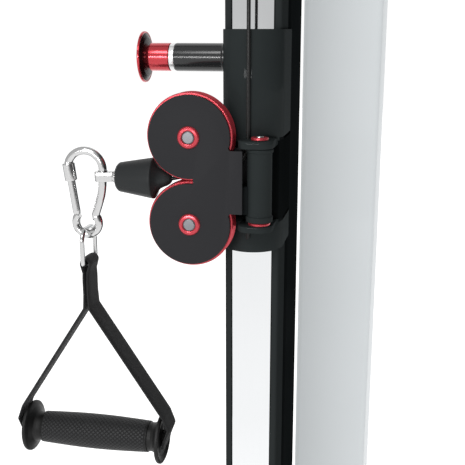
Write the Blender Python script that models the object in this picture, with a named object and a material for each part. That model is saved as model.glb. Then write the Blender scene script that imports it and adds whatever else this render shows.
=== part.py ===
"""Cable crossover machine: two mirrored weight-stack stations joined by a cross beam.

Metres, +Z up, origin on the floor midway between the stations. Each piece is modelled for the
right-hand station (X outward from the column's centre line, Y back from the column's front face,
Z above the floor) and placed once for each side, mirrored for the left.
"""
import math

import bmesh
import bpy
from mathutils import Matrix, Vector

# Overall layout
STATION_X = 0.900          # centre line of each column
COLUMN_FACE_Y = -0.200     # front face of each column
FOOT_LENGTH = 1.000
FOOT_INNER = 0.045         # foot beyond the column's centre line, towards the middle
FOOT_OUTER = 0.135
FOOT_HEIGHT = 0.055
GAP = 0.0003               # between pieces that touch

# Column and post
COLUMN_WIDTH = 0.058
COLUMN_DEPTH = 0.050
COLUMN_BOTTOM = 0.140
COLUMN_TOP = 2.030
STRIP_WIDTH = 0.043
STRIP_THICK = 0.0024
POST_WIDTH = 0.062
POST_DEPTH = 0.090
POST_SPACING = 0.012       # web between column and post
POST_RISE = 0.060          # post above the top of the column
HOLE_PITCH = 0.080
HOLE_RADIUS = 0.0048
HOLE_DEPTH = 0.012
HOLES_BELOW = 10
HOLES_ABOVE = 7

# Stack housing and stack
HOUSING_FRONT = 0.166
HOUSING_DEPTH = 0.330
HOUSING_WIDTH = 0.0925
HOUSING_WALL = 0.003
HOUSING_RETURN = 0.030     # lips beside the open inner side
HOUSING_RISE = 0.010       # housing above the top of the column
PLATE_WIDTH = 0.076
PLATE_LENGTH = 0.280
PLATE_THICK = 0.025
PLATE_GROOVE = 0.002
PLATES_RESTING = 11
PLATES_LIFTED = 5
ROD_RADIUS = 0.0095
ROD_SPREAD = 0.105
SELECTOR_RADIUS = 0.008
PIN_RADIUS = 0.0043
YOKE_THICK = 0.020

# Pulleys and cable
PULLEY_RADIUS = 0.044
GROOVE_RADIUS = 0.038
PULLEY_WIDTH = 0.018
BORE_RADIUS = 0.0053
AXLE_RADIUS = 0.005
CABLE_RADIUS = 0.002
CABLE_CLEAR = 0.0008       # from the groove's bottom to the cable
HEAD_RISE = 0.070          # head pulleys above the top of the column
EAR_THICK = 0.006
EAR_CLEAR = 0.0015
STACK_PULLEY_RISE = 0.045

# Carriage
CARRIAGE_TOP = 1.420
SLEEVE_HEIGHT = 0.2245
SLEEVE_CLEAR = 0.0004
SLEEVE_WALL = 0.0023
SLEEVE_CENTRE_Y = 0.0095
SLEEVE_BACK_Y = 0.057
LEDGE_TOP = 0.106          # depths below the carriage top
RECESS_TOP = 0.114
RECESS_BOTTOM = 0.1915
LEDGE_BOTTOM = 0.198
RECESS_BACK_Y = -0.004
SWIVEL_X = 0.0133
SWIVEL_FRONT = 0.0108      # hinge axis in front of the sleeve's nose
LUG_RADIUS = 0.014
BUSH_TOP = 0.1886          # red bush on the lower ledge, under the barrel
LUG_LEFT = -0.008
CABLE_FRONT = 0.0024       # cable in front of the sleeve's nose
HINGE_PIN_RADIUS = 0.006
PULL_Y = 0.025
PULL_DROP = 0.0287
PULL_HOUSING_LENGTH = 0.0617

# Bracket
BRACKET_PLATE = 0.003
BRACKET_HALF = 0.013       # outer half width across the plates
LOBE_RADIUS = 0.0416
NOTCH_REACH = 0.004        # notch between the lobes, past the pulleys' centres
PULLEY_X = -0.056
UPPER_DROP = 0.1037
LOWER_DROP = 0.1918
TAB_EDGE_X = -0.002
TAB_TOP = 0.116
TAB_BOTTOM = 0.183
BARREL_RADIUS = 0.0125

# Handle
HANDLE_DROP = 0.14775
BALL_TIP_X = -0.0768
BALL_FRONT_X = -0.0948
BALL_END_X = -0.1345
EYE_HOLE_X = -0.1509
EYE_HOLE_RADIUS = 0.0056
EYE_RADIUS = 0.0092
EYE_HEIGHT = 0.0105
HOOK_X = -0.170
HOOK_WIRE = 0.0045
HOOK_TOP_RADIUS = 0.0191
HOOK_LOW_RADIUS = 0.0126
HOOK_TOP_DROP = 0.1408
HOOK_LOW_DROP = 0.1979
GATE_TOP_X = -0.1885
GATE_TOP_DROP = 0.1340
GATE_LOW_X = -0.1815
GATE_LOW_DROP = 0.1865
RING_WIRE = 0.0025
RING_WIDTH = 0.0365
RING_HEIGHT = 0.037
RING_CORNER = 0.0045
RING_SHOULDER = 0.0125      # rounder corners at the top
STRAP_WIDTH = 0.030
STRAP_THICK = 0.0035
STRAP_SPLIT_DROP = 0.290
GRIP_DROP = 0.440
GRIP_HALF = 0.079
GRIP_FLANGE = 0.0282
GRIP_BORE = 0.0088
STRAP_CORE = 0.008

STRAIGHT_UP = Vector((0, 0, 1))

for old in list(bpy.data.objects):
    bpy.data.objects.remove(old)


def make_material(name, color, roughness, metallic):
    material = bpy.data.materials.new(name)
    material.use_nodes = True
    shader = material.node_tree.nodes["Principled BSDF"]
    shader.inputs["Base Color"].default_value = (*color, 1)
    shader.inputs["Roughness"].default_value = roughness
    shader.inputs["Metallic"].default_value = metallic
    return material


BLACK = make_material("black_paint", (0.03, 0.03, 0.033), 0.25, 0.0)
WHITE = make_material("white_paint", (0.60, 0.62, 0.63), 0.45, 0.0)
CHROME = make_material("chrome", (0.80, 0.81, 0.82), 0.08, 1.0)
STEEL = make_material("dark_steel", (0.05, 0.05, 0.052), 0.35, 0.6)
RED = make_material("red_anodised", (0.55, 0.02, 0.035), 0.3, 0.5)
RUBBER = make_material("black_rubber", (0.02, 0.02, 0.02), 0.6, 0.0)
WEBBING = make_material("webbing", (0.015, 0.015, 0.016), 0.8, 0.0)


# ---- shapes ----

def box(x0, x1, y0, y1, z0, z1, bevel=0.0):
    bm = bmesh.new()
    bmesh.ops.create_cube(bm, size=1)
    size = Vector((x1 - x0, y1 - y0, z1 - z0))
    centre = Vector((x0 + x1, y0 + y1, z0 + z1)) / 2
    bmesh.ops.transform(bm, matrix=Matrix.Translation(centre) @ Matrix.Diagonal((*size, 1)), verts=bm.verts)
    if bevel:
        bmesh.ops.bevel(bm, geom=bm.edges, offset=bevel, segments=2, profile=0.5, affect="EDGES")
    return bm


def loft(rings, closed):
    """Skin rings of points; an open run is capped at both ends, a closed one joins up."""
    bm = bmesh.new()
    rows = [[bm.verts.new(point) for point in ring] for ring in rings]
    pairs = list(zip(rows, rows[1:]))
    if closed:
        pairs.append((rows[-1], rows[0]))
    else:
        bm.faces.new(rows[0])
        bm.faces.new(rows[-1])
    for first, second in pairs:
        for i in range(len(first)):
            j = (i + 1) % len(first)
            bm.faces.new((first[i], first[j], second[j], second[i]))
    bmesh.ops.recalc_face_normals(bm, faces=bm.faces)
    return bm


def turned(profile, centre, axis, steps, closed=False):
    """Turn (radius, distance along axis) points about an axis through centre."""
    axis = Vector(axis).normalized()
    across = axis.orthogonal().normalized()
    other = axis.cross(across)
    rings = []
    for radius, along in profile:
        angles = [2 * math.pi * i / steps for i in range(steps)]
        rings.append([Vector(centre) + axis * along + (across * math.cos(a) + other * math.sin(a)) * radius
                      for a in angles])
    return loft(rings, closed)


def cylinder(centre, axis, radius, start, end, steps=16):
    return turned([(radius, start), (radius, end)], centre, axis, steps)


def prism(outline, start, end):
    """Extrude an outline of points by the vectors start and end."""
    return loft([[Vector(p) + Vector(start) for p in outline], [Vector(p) + Vector(end) for p in outline]], False)


def tube(path, normal, radius, sides, closed=False):
    """Sweep a round section along a path that lies in the plane of the normal."""
    normal = Vector(normal).normalized()
    path = [Vector(p) for p in path]
    rings = []
    for i, point in enumerate(path):
        before = path[i - 1] if closed or i else point
        after = path[(i + 1) % len(path)] if closed or i + 1 < len(path) else point
        side = (after - before).normalized().cross(normal)
        angles = [2 * math.pi * k / sides for k in range(sides)]
        rings.append([point + (normal * math.cos(a) + side * math.sin(a)) * radius for a in angles])
    return loft(rings, closed)


def boolean(first, second, operation="UNION"):
    objects = []
    for bm in (first, second):
        mesh = bpy.data.meshes.new("working")
        bm.to_mesh(mesh)
        bm.free()
        working = bpy.data.objects.new("working", mesh)
        bpy.context.collection.objects.link(working)
        objects.append(working)
    modifier = objects[0].modifiers.new("join", "BOOLEAN")
    modifier.operation = operation
    modifier.object = objects[1]
    bpy.context.view_layer.update()
    result = bmesh.new()
    result.from_object(objects[0], bpy.context.evaluated_depsgraph_get())
    for working in objects:
        bpy.data.objects.remove(working)
    return result


def union(first, *others):
    for other in others:
        first = boolean(first, other)
    return first


def cut(first, *others):
    for other in others:
        first = boolean(first, other, "DIFFERENCE")
    return first


def arc(centre, radius, start, end, steps):
    """Points (across, up) on an arc; angles in degrees."""
    span = [math.radians(start + (end - start) * i / steps) for i in range(steps + 1)]
    return [(centre[0] + radius * math.cos(a), centre[1] + radius * math.sin(a)) for a in span]


def add(name, bm, material, location=(0, 0, 0)):
    """Make an object at a location from a mesh measured from that point."""
    mesh = bpy.data.meshes.new(name)
    bm.to_mesh(mesh)
    bm.free()
    mesh.shade_smooth()
    mesh.set_sharp_from_angle(angle=math.radians(35))
    mesh.materials.append(material)
    piece = bpy.data.objects.new(name, mesh)
    piece.location = location
    bpy.context.collection.objects.link(piece)


# ---- where things are ----

POST_TOP = COLUMN_TOP + POST_RISE
HOUSING_TOP = COLUMN_TOP + HOUSING_RISE
HEAD_Z = COLUMN_TOP + HEAD_RISE
POST_FRONT = COLUMN_DEPTH + POST_SPACING
SLEEVE_OUTER = COLUMN_WIDTH / 2 + SLEEVE_CLEAR + SLEEVE_WALL     # half width, and radius of the rounded front
SLEEVE_NOSE_Y = SLEEVE_CENTRE_Y - SLEEVE_OUTER
SWIVEL_Y = SLEEVE_NOSE_Y - SWIVEL_FRONT
CABLE_Y = SLEEVE_NOSE_Y - CABLE_FRONT
PULL_HOUSING_END = SLEEVE_OUTER + PULL_HOUSING_LENGTH
STACK_X = POST_WIDTH / 2 + GAP + HOUSING_WIDTH / 2
STACK_Y = HOUSING_FRONT + HOUSING_DEPTH / 2
STACK_BASE = FOOT_HEIGHT + 0.025
LIFT_BASE = STACK_BASE + PLATES_RESTING * (PLATE_THICK + PLATE_GROOVE) + GAP
LIFT_TOP = LIFT_BASE + PLATES_LIFTED * (PLATE_THICK + PLATE_GROOVE)
WRAP = GROOVE_RADIUS + CABLE_CLEAR + CABLE_RADIUS
RUN = Vector((STACK_X, STACK_Y - CABLE_Y, 0))
RUN_LENGTH = RUN.length
RUN_DIR = RUN.normalized()
RUN_AXIS = Vector((RUN_DIR.y, -RUN_DIR.x, 0))
RUN_START = Vector((0, CABLE_Y, 0))
EAR_INNER = PULLEY_WIDTH / 2 + EAR_CLEAR
RING_TOP_Z = CARRIAGE_TOP - (HOOK_LOW_DROP + HOOK_LOW_RADIUS - HOOK_WIRE - RING_WIRE - GAP)
RING_LOW_Z = RING_TOP_Z - RING_HEIGHT
GRIP_Z = CARRIAGE_TOP - GRIP_DROP


def at_drop(x, y, drop):
    return Vector((x, y, CARRIAGE_TOP - drop))


def along_run(distance, height):
    return RUN_START + RUN_DIR * distance + STRAIGHT_UP * height


FRONT_PULLEY = along_run(WRAP, HEAD_Z)
REAR_PULLEY = along_run(RUN_LENGTH - 2 * WRAP, HEAD_Z)
STACK_PULLEY = along_run(RUN_LENGTH, LIFT_TOP + YOKE_THICK + STACK_PULLEY_RISE)
GATE_PIVOT = at_drop(GATE_LOW_X, SWIVEL_Y, GATE_LOW_DROP)
UPPER_PULLEY = at_drop(PULLEY_X, SWIVEL_Y, UPPER_DROP)
LOWER_PULLEY = at_drop(PULLEY_X, SWIVEL_Y, LOWER_DROP)


# ---- frame ----

def base_foot():
    half = FOOT_LENGTH / 2
    return box(-FOOT_INNER, FOOT_OUTER, -half - COLUMN_FACE_Y, half - COLUMN_FACE_Y, 0, FOOT_HEIGHT, 0.006)


def run_plate(offset, start, end, low, high):
    """A plate beside the cable's plane, at an offset along the pulley axis."""
    corners = [(start, low), (end, low), (end, high), (start, high)]
    outline = [along_run(s, z) + RUN_AXIS * offset for s, z in corners]
    return prism(outline, (0, 0, 0), RUN_AXIS * EAR_THICK)


def main_post():
    half = POST_WIDTH / 2
    post = box(-half, half, POST_FRONT, POST_FRONT + POST_DEPTH, FOOT_HEIGHT + GAP, POST_TOP, 0.004)
    web = box(-0.020, 0.020, COLUMN_DEPTH + GAP, POST_FRONT + 0.010, COLUMN_BOTTOM, COLUMN_TOP)
    end = RUN_LENGTH + WRAP + 0.012
    plates = [run_plate(offset, 0.012, end, HEAD_Z - 0.030, HEAD_Z + 0.030)
              for offset in (-EAR_INNER - EAR_THICK, EAR_INNER)]
    reach = EAR_INNER + EAR_THICK / 2
    axles = [cylinder(centre, RUN_AXIS, AXLE_RADIUS, -reach, reach, 12) for centre in (FRONT_PULLEY, REAR_PULLEY)]
    anchor = prism([along_run(s, z) - RUN_AXIS * reach for s, z in
                    ((end - 0.022, HEAD_Z - 0.010), (end - 0.002, HEAD_Z - 0.010),
                     (end - 0.002, HEAD_Z + 0.010), (end - 0.022, HEAD_Z + 0.010))],
                   (0, 0, 0), RUN_AXIS * 2 * reach)
    return union(post, web, *plates, *axles, anchor)


def column():
    half = COLUMN_WIDTH / 2
    inset = STRIP_WIDTH / 2 + GAP
    depth = STRIP_THICK + 2 * GAP
    corner = 0.003
    outline = [(-inset, 0), (-inset, depth), (inset, depth), (inset, 0), (half - corner, 0), (half, corner),
               (half, COLUMN_DEPTH), (-half, COLUMN_DEPTH), (-half, corner), (-half + corner, 0)]
    body = prism([(x, y, 0) for x, y in outline], (0, 0, COLUMN_BOTTOM), (0, 0, COLUMN_TOP))
    holes = [cylinder((-half, PULL_Y, CARRIAGE_TOP - PULL_DROP + HOLE_PITCH * step), (1, 0, 0),
                      HOLE_RADIUS, -0.01, HOLE_DEPTH, 8) for step in range(-HOLES_BELOW, HOLES_ABOVE + 1)]
    return cut(body, *holes)


def column_strip():
    return box(-STRIP_WIDTH / 2, STRIP_WIDTH / 2, GAP, GAP + STRIP_THICK, COLUMN_BOTTOM, COLUMN_TOP)


def stack_housing():
    left = POST_WIDTH / 2 + GAP
    right = left + HOUSING_WIDTH
    front = HOUSING_FRONT
    back = front + HOUSING_DEPTH
    wall = HOUSING_WALL
    lip = HOUSING_RETURN
    outline = [(left, front + lip), (left, front + 0.004), (left + 0.004, front), (right - 0.004, front),
               (right, front + 0.004), (right, back), (left, back), (left, back - lip), (left + wall, back - lip),
               (left + wall, back - wall), (right - wall, back - wall), (right - wall, front + wall),
               (left + wall, front + wall), (left + wall, front + lip)]
    return prism([(x, y, 0) for x, y in outline], (0, 0, FOOT_HEIGHT + GAP), (0, 0, HOUSING_TOP))


def guide_frame():
    """Base plate, two rods, and a block over each rod that leaves the middle open for the cable."""
    half = HOUSING_WIDTH / 2 - HOUSING_WALL - 0.004
    base = box(STACK_X - half, STACK_X + half, STACK_Y - 0.145, STACK_Y + 0.145,
               FOOT_HEIGHT + GAP, STACK_BASE - GAP)
    rods = [cylinder((STACK_X, STACK_Y + y, 0), STRAIGHT_UP, ROD_RADIUS, STACK_BASE - 0.005, HOUSING_TOP - 0.025, 12)
            for y in (-ROD_SPREAD, ROD_SPREAD)]
    cap = box(STACK_X - half, STACK_X + half, STACK_Y - 0.135, STACK_Y + 0.135,
              HOUSING_TOP - 0.030, HOUSING_TOP - 0.018)
    way = box(STACK_X - HOUSING_WIDTH, STACK_X + HOUSING_WIDTH, STACK_Y - 0.058, STACK_Y + 0.058,
              HOUSING_TOP - 0.040, HOUSING_TOP)
    return union(base, *rods, cut(cap, way))


def plate_block(bottom, count):
    """Weight plates one on another, told apart by the grooves down both sides."""
    half = PLATE_WIDTH / 2
    pitch = PLATE_THICK + PLATE_GROOVE
    right = []
    for i in range(count):
        low = bottom + i * pitch
        right += [(half, low), (half, low + PLATE_THICK)]
        if i + 1 < count:
            right += [(half - PLATE_GROOVE, low + PLATE_THICK), (half - PLATE_GROOVE, low + pitch)]
    outline = right + [(-x, z) for x, z in reversed(right)]
    block = prism([(STACK_X + x, STACK_Y, z) for x, z in outline],
                  (0, -PLATE_LENGTH / 2, 0), (0, PLATE_LENGTH / 2, 0))
    rods = [cylinder((STACK_X, STACK_Y + y, 0), STRAIGHT_UP, ROD_RADIUS + 0.0015, bottom - 0.01,
                     bottom + count * pitch + 0.01, 12) for y in (-ROD_SPREAD, ROD_SPREAD)]
    return cut(block, *rods)


def selector_hole(z, steps):
    """Square in the resting plates, round where the pin seats."""
    return cylinder((STACK_X, STACK_Y, z), (-1, 0, 0), PIN_RADIUS + GAP, -0.012, PLATE_WIDTH, steps)


def stack_resting():
    pitch = PLATE_THICK + PLATE_GROOVE
    block = plate_block(STACK_BASE, PLATES_RESTING)
    centre_hole = cylinder((STACK_X, STACK_Y, 0), STRAIGHT_UP, SELECTOR_RADIUS + 0.0015, STACK_BASE - 0.01,
                           LIFT_BASE + 0.01, 12)
    holes = [selector_hole(STACK_BASE + i * pitch + PLATE_THICK / 2, 4) for i in range(PLATES_RESTING)]
    return cut(block, centre_hole, *holes)


def stack_lifting():
    block = plate_block(LIFT_BASE, PLATES_LIFTED)
    selector = cylinder((STACK_X, STACK_Y, 0), STRAIGHT_UP, SELECTOR_RADIUS, STACK_BASE + 0.01, LIFT_BASE + 0.01, 12)
    top = box(STACK_X - 0.022, STACK_X + 0.022, STACK_Y - 0.060, STACK_Y + 0.060,
              LIFT_TOP - PLATE_GROOVE - 0.003, LIFT_TOP + YOKE_THICK)
    ear_top = STACK_PULLEY.z + 0.014
    ears = [run_plate(offset, RUN_LENGTH - 0.020, RUN_LENGTH + 0.020, LIFT_TOP + 0.005, ear_top)
            for offset in (-EAR_INNER - EAR_THICK, EAR_INNER)]
    reach = EAR_INNER + EAR_THICK / 2
    axle = cylinder(STACK_PULLEY, RUN_AXIS, AXLE_RADIUS, -reach, reach, 12)
    way = cylinder(STACK_PULLEY, RUN_AXIS, PULLEY_RADIUS + 0.003, -EAR_INNER, EAR_INNER, 20)
    return cut(union(block, selector, cut(top, way), *ears, axle), selector_hole(LIFT_BASE + PLATE_THICK / 2, 12))


def selector_pin():
    face = PLATE_WIDTH / 2
    profile = [(PIN_RADIUS, -0.008), (PIN_RADIUS, face + 0.001), (0.011, face + 0.001), (0.013, face + 0.006),
               (0.013, face + 0.012), (0.009, face + 0.024)]
    return turned(profile, (STACK_X, STACK_Y, LIFT_BASE + PLATE_THICK / 2), (-1, 0, 0), 12)


# ---- pulleys and cable ----

def pulley(centre, axis, steps=20):
    half = PULLEY_WIDTH / 2
    profile = [(BORE_RADIUS, -half), (PULLEY_RADIUS, -half), (PULLEY_RADIUS, -half + 0.002), (GROOVE_RADIUS, -0.0026),
               (GROOVE_RADIUS, 0.0026), (PULLEY_RADIUS, half - 0.002), (PULLEY_RADIUS, half), (BORE_RADIUS, half)]
    return turned(profile, centre, axis, steps, closed=True)


def cable_upper_run():
    start = (0, CABLE_Y, CARRIAGE_TOP - RECESS_TOP + 0.001)
    return tube([start, (0, CABLE_Y, HEAD_Z - GAP)], (1, 0, 0), CABLE_RADIUS, 8)


def cable_head():
    front = arc((WRAP, HEAD_Z), WRAP, 180, 90, 8)
    rear = arc((RUN_LENGTH - 2 * WRAP, HEAD_Z), WRAP, 90, 0, 8)
    return tube([along_run(s, z) for s, z in front + rear], RUN_AXIS, CABLE_RADIUS, 8)


def cable_stack_run():
    top = HEAD_Z - GAP
    bend = arc((RUN_LENGTH, STACK_PULLEY.z), WRAP, 180, 360, 16)
    path = [(RUN_LENGTH - WRAP, top), *bend, (RUN_LENGTH + WRAP, HEAD_Z - 0.010 - GAP)]
    return tube([along_run(s, z) for s, z in path], RUN_AXIS, CABLE_RADIUS, 8)


def cable_handle():
    """The short stretch from the ledge, under the upper pulley, to the ball stop."""
    route = [(0.0, CABLE_Y, RECESS_TOP + 0.002), (-0.002, CABLE_Y - 0.0009, 0.121),
             (-0.008, CABLE_Y - 0.0039, 0.130),
             (-0.018, SWIVEL_Y + 0.0012, 0.1385), (-0.030, SWIVEL_Y, 0.1435), (-0.044, SWIVEL_Y, 0.1463),
             (-0.058, SWIVEL_Y, 0.1474), (BALL_TIP_X + GAP, SWIVEL_Y, HANDLE_DROP)]
    return tube([at_drop(*point) for point in route], (0, 1, 0), CABLE_RADIUS, 8)


# ---- carriage ----

def sleeve_outline():
    inner = COLUMN_WIDTH / 2 + SLEEVE_CLEAR
    outer = SLEEVE_OUTER
    front = arc((0, SLEEVE_CENTRE_Y), outer, 0, -180, 14)
    return [(outer, SLEEVE_BACK_Y), *front, (-outer, SLEEVE_BACK_Y), (-inner, SLEEVE_BACK_Y),
            (-inner, -2 * GAP), (inner, -2 * GAP), (inner, SLEEVE_BACK_Y)]


def lug(top, bottom):
    """Ledge that holds one end of the hinge pin."""
    right = SWIVEL_X + LUG_RADIUS
    nose = arc((SWIVEL_X, SWIVEL_Y), LUG_RADIUS, 0, -90, 4) + arc((LUG_LEFT + 0.010, SWIVEL_Y), 0.010, -130, -180, 3)
    outline = [(right, RECESS_BACK_Y + 0.002), *nose, (LUG_LEFT, RECESS_BACK_Y + 0.002)]
    return prism([(x, y, 0) for x, y in outline], (0, 0, CARRIAGE_TOP - bottom), (0, 0, CARRIAGE_TOP - top))


def carriage_sleeve():
    bottom = CARRIAGE_TOP - SLEEVE_HEIGHT
    body = prism([(x, y, 0) for x, y in sleeve_outline()], (0, 0, bottom), (0, 0, CARRIAGE_TOP))
    recess = box(-0.05, 0.05, -0.08, RECESS_BACK_Y,
                 CARRIAGE_TOP - LEDGE_BOTTOM + 0.004, CARRIAGE_TOP - LEDGE_TOP - 0.004)
    lugs = [lug(LEDGE_TOP, RECESS_TOP), lug(RECESS_BOTTOM, LEDGE_BOTTOM)]
    boss = turned([(0.0145, -0.0005), (0.0145, 0.0573), (0.014, 0.0573), (0.014, PULL_HOUSING_LENGTH)],
                  (-SLEEVE_OUTER, PULL_Y, CARRIAGE_TOP - PULL_DROP), (-1, 0, 0), 16)
    pin_hole = cylinder((SWIVEL_X, SWIVEL_Y, 0), STRAIGHT_UP, HINGE_PIN_RADIUS + GAP, bottom, CARRIAGE_TOP, 12)
    cable_hole = cylinder((0, CABLE_Y, 0), STRAIGHT_UP, CABLE_RADIUS + 0.001,
                          CARRIAGE_TOP - 0.13, CARRIAGE_TOP - 0.09, 8)
    pull_hole = cylinder((0, PULL_Y, CARRIAGE_TOP - PULL_DROP), (-1, 0, 0), 0.0044,
                         COLUMN_WIDTH / 2 - 0.001, PULL_HOUSING_END + 0.0066, 10)
    return cut(union(cut(body, recess), *lugs, boss), pin_hole, cable_hole, pull_hole)


def pull_pin():
    start = PULL_HOUSING_END + GAP
    profile = [(0.004, COLUMN_WIDTH / 2 + SLEEVE_CLEAR), (0.004, start), (0.0145, start), (0.0145, start + 0.0143),
               (0.018, start + 0.0218), (0.0265, start + 0.0248), (0.0265, start + 0.0273), (0.020, start + 0.0303)]
    return turned(profile, (0, PULL_Y, CARRIAGE_TOP - PULL_DROP), (-1, 0, 0), 16)


def hinge_pin():
    radius = HINGE_PIN_RADIUS
    profile = [(0.0085, 0.1015), (0.0085, LEDGE_TOP - GAP), (radius, LEDGE_TOP - GAP), (radius, BUSH_TOP),
               (0.0105, BUSH_TOP), (0.0105, RECESS_BOTTOM - GAP), (radius, RECESS_BOTTOM - GAP), (radius, LEDGE_BOTTOM)]
    return turned(profile, (SWIVEL_X, SWIVEL_Y, CARRIAGE_TOP), (0, 0, -1), 12)


# ---- bracket ----

def bracket_plate(y):
    """Two round lobes on a tab, with a notch between the lobes on the handle side."""
    meet = math.sqrt(LOBE_RADIUS ** 2 - (TAB_TOP - UPPER_DROP) ** 2)
    start = math.degrees(math.asin((TAB_TOP - UPPER_DROP) / LOBE_RADIUS))
    middle = (UPPER_DROP + LOWER_DROP) / 2
    stop = -270 - math.degrees(math.asin(NOTCH_REACH / LOBE_RADIUS))
    upper = arc((PULLEY_X, UPPER_DROP), LOBE_RADIUS, start, stop, 13)
    lower = [(x, 2 * middle - drop) for x, drop in reversed(upper)]
    outline = [(TAB_EDGE_X, TAB_TOP), (PULLEY_X + meet + 0.001, TAB_TOP), *upper, *lower,
               (PULLEY_X + meet + 0.001, 2 * middle - TAB_TOP), (TAB_EDGE_X, 2 * middle - TAB_TOP)]
    return prism([at_drop(x, y, drop) for x, drop in outline], (0, 0, 0), (0, BRACKET_PLATE, 0))


def pulley_bracket():
    near = SWIVEL_Y - BRACKET_HALF
    far = SWIVEL_Y + BRACKET_HALF - BRACKET_PLATE
    block = box(-0.010, 0.006, near + 0.001, far + BRACKET_PLATE - 0.001,
                CARRIAGE_TOP - TAB_BOTTOM + 0.002, CARRIAGE_TOP - 0.152)
    barrel = turned([(0.0135, 0.1145), (0.0135, 0.118), (BARREL_RADIUS, 0.118), (BARREL_RADIUS, 0.182),
                     (0.0135, 0.182), (0.0135, 0.1882)], (SWIVEL_X, SWIVEL_Y, CARRIAGE_TOP), (0, 0, -1), 16)
    bolts = []
    for centre in (UPPER_PULLEY, LOWER_PULLEY):
        bolts.append(turned([(0.007, -BRACKET_HALF - 0.003), (0.007, -BRACKET_HALF + 0.001),
                             (AXLE_RADIUS, -BRACKET_HALF + 0.001), (AXLE_RADIUS, BRACKET_HALF - 0.001),
                             (0.007, BRACKET_HALF - 0.001), (0.007, BRACKET_HALF + 0.002)], centre, (0, 1, 0), 12))
    bore = cylinder((SWIVEL_X, SWIVEL_Y, CARRIAGE_TOP - 0.150), STRAIGHT_UP, HINGE_PIN_RADIUS + GAP, -0.05, 0.05, 12)
    return cut(union(bracket_plate(near), block, barrel, bracket_plate(far), *bolts), bore)


# ---- handle ----

def ball_stop():
    """Turned rubber stop with a concave nose that seats between the pulleys."""
    profile = [(0.0032, BALL_TIP_X), (0.0052, -0.0785), (0.0076, -0.0822), (0.0092, -0.0862), (0.0120, -0.0905),
               (0.0180, -0.0935), (0.0212, BALL_FRONT_X), (0.0208, BALL_FRONT_X - 0.003),
               (0.0155, BALL_END_X + 0.0025), (0.0136, BALL_END_X)]
    return turned([(r, -x) for r, x in profile], at_drop(0, SWIVEL_Y, HANDLE_DROP), (-1, 0, 0), 16)


def cable_eye():
    neck = BALL_END_X - GAP
    cup = turned([(0.009, -neck), (0.009, -neck + 0.0045), (0.0075, -neck + 0.0065)],
                 at_drop(0, SWIVEL_Y, HANDLE_DROP), (-1, 0, 0), 14)
    loop = arc((EYE_HOLE_X, SWIVEL_Y), EYE_RADIUS, 110, 250, 8)
    outline = [(neck - 0.005, SWIVEL_Y - 0.006), (neck - 0.005, SWIVEL_Y + 0.006), *loop]
    low = CARRIAGE_TOP - HANDLE_DROP - EYE_HEIGHT / 2
    tongue = prism([(x, y, 0) for x, y in outline], (0, 0, low), (0, 0, low + EYE_HEIGHT))
    hole = cylinder((EYE_HOLE_X, SWIVEL_Y, 0), STRAIGHT_UP, EYE_HOLE_RADIUS, low - 0.01, low + EYE_HEIGHT + 0.01, 12)
    return cut(union(tongue, cup), hole)


def carabiner():
    """Pear-shaped open hook: over the top, down the fixed leg and round its eye to the gate's hinge."""
    top = arc((HOOK_X, -HOOK_TOP_DROP), HOOK_TOP_RADIUS, 145, -6, 10)
    low = arc((HOOK_X, -HOOK_LOW_DROP), HOOK_LOW_RADIUS, 42, -212, 13)
    path = [*top, (HOOK_X + HOOK_TOP_RADIUS - 0.0006, -0.1535), *low]
    return tube([(x, SWIVEL_Y, CARRIAGE_TOP + z) for x, z in path], (0, 1, 0), HOOK_WIRE, 8)


def carabiner_gate():
    along = at_drop(GATE_TOP_X, SWIVEL_Y, GATE_TOP_DROP) - GATE_PIVOT
    length = along.length
    profile = [(0.0034, 0), (0.0040, 0.004), (0.0040, length - 0.0205), (0.0066, length - 0.0200),
               (0.0066, length - 0.0030), (0.0040, length - 0.0005), (0.0036, length)]
    return turned(profile, GATE_PIVOT, along, 10)


def ring():
    half = RING_WIDTH / 2 - RING_CORNER
    low = RING_LOW_Z + RING_CORNER
    path = []
    shoulder = RING_WIDTH / 2 - RING_SHOULDER
    for centre, radius, start in (((shoulder, RING_TOP_Z - RING_SHOULDER), RING_SHOULDER, 0),
                                  ((-shoulder, RING_TOP_Z - RING_SHOULDER), RING_SHOULDER, 90),
                                  ((-half, low), RING_CORNER, 180), ((half, low), RING_CORNER, 270)):
        path += arc(centre, radius, start, start + 90, 4)
    return tube([(HOOK_X, SWIVEL_Y + y, z) for y, z in path], (1, 0, 0), RING_WIRE, 8, closed=True)


def ribbon(path, thick):
    """Outline of a strip of the given thickness along an open path of (x, z) points."""
    left = []
    right = []
    for i, (x, z) in enumerate(path):
        before = path[max(i - 1, 0)]
        after = path[min(i + 1, len(path) - 1)]
        along = Vector((after[0] - before[0], after[1] - before[1])).normalized()
        left.append((x - along.y * thick / 2, z + along.x * thick / 2))
        right.append((x + along.y * thick / 2, z - along.x * thick / 2))
    return left + right[::-1]


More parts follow.
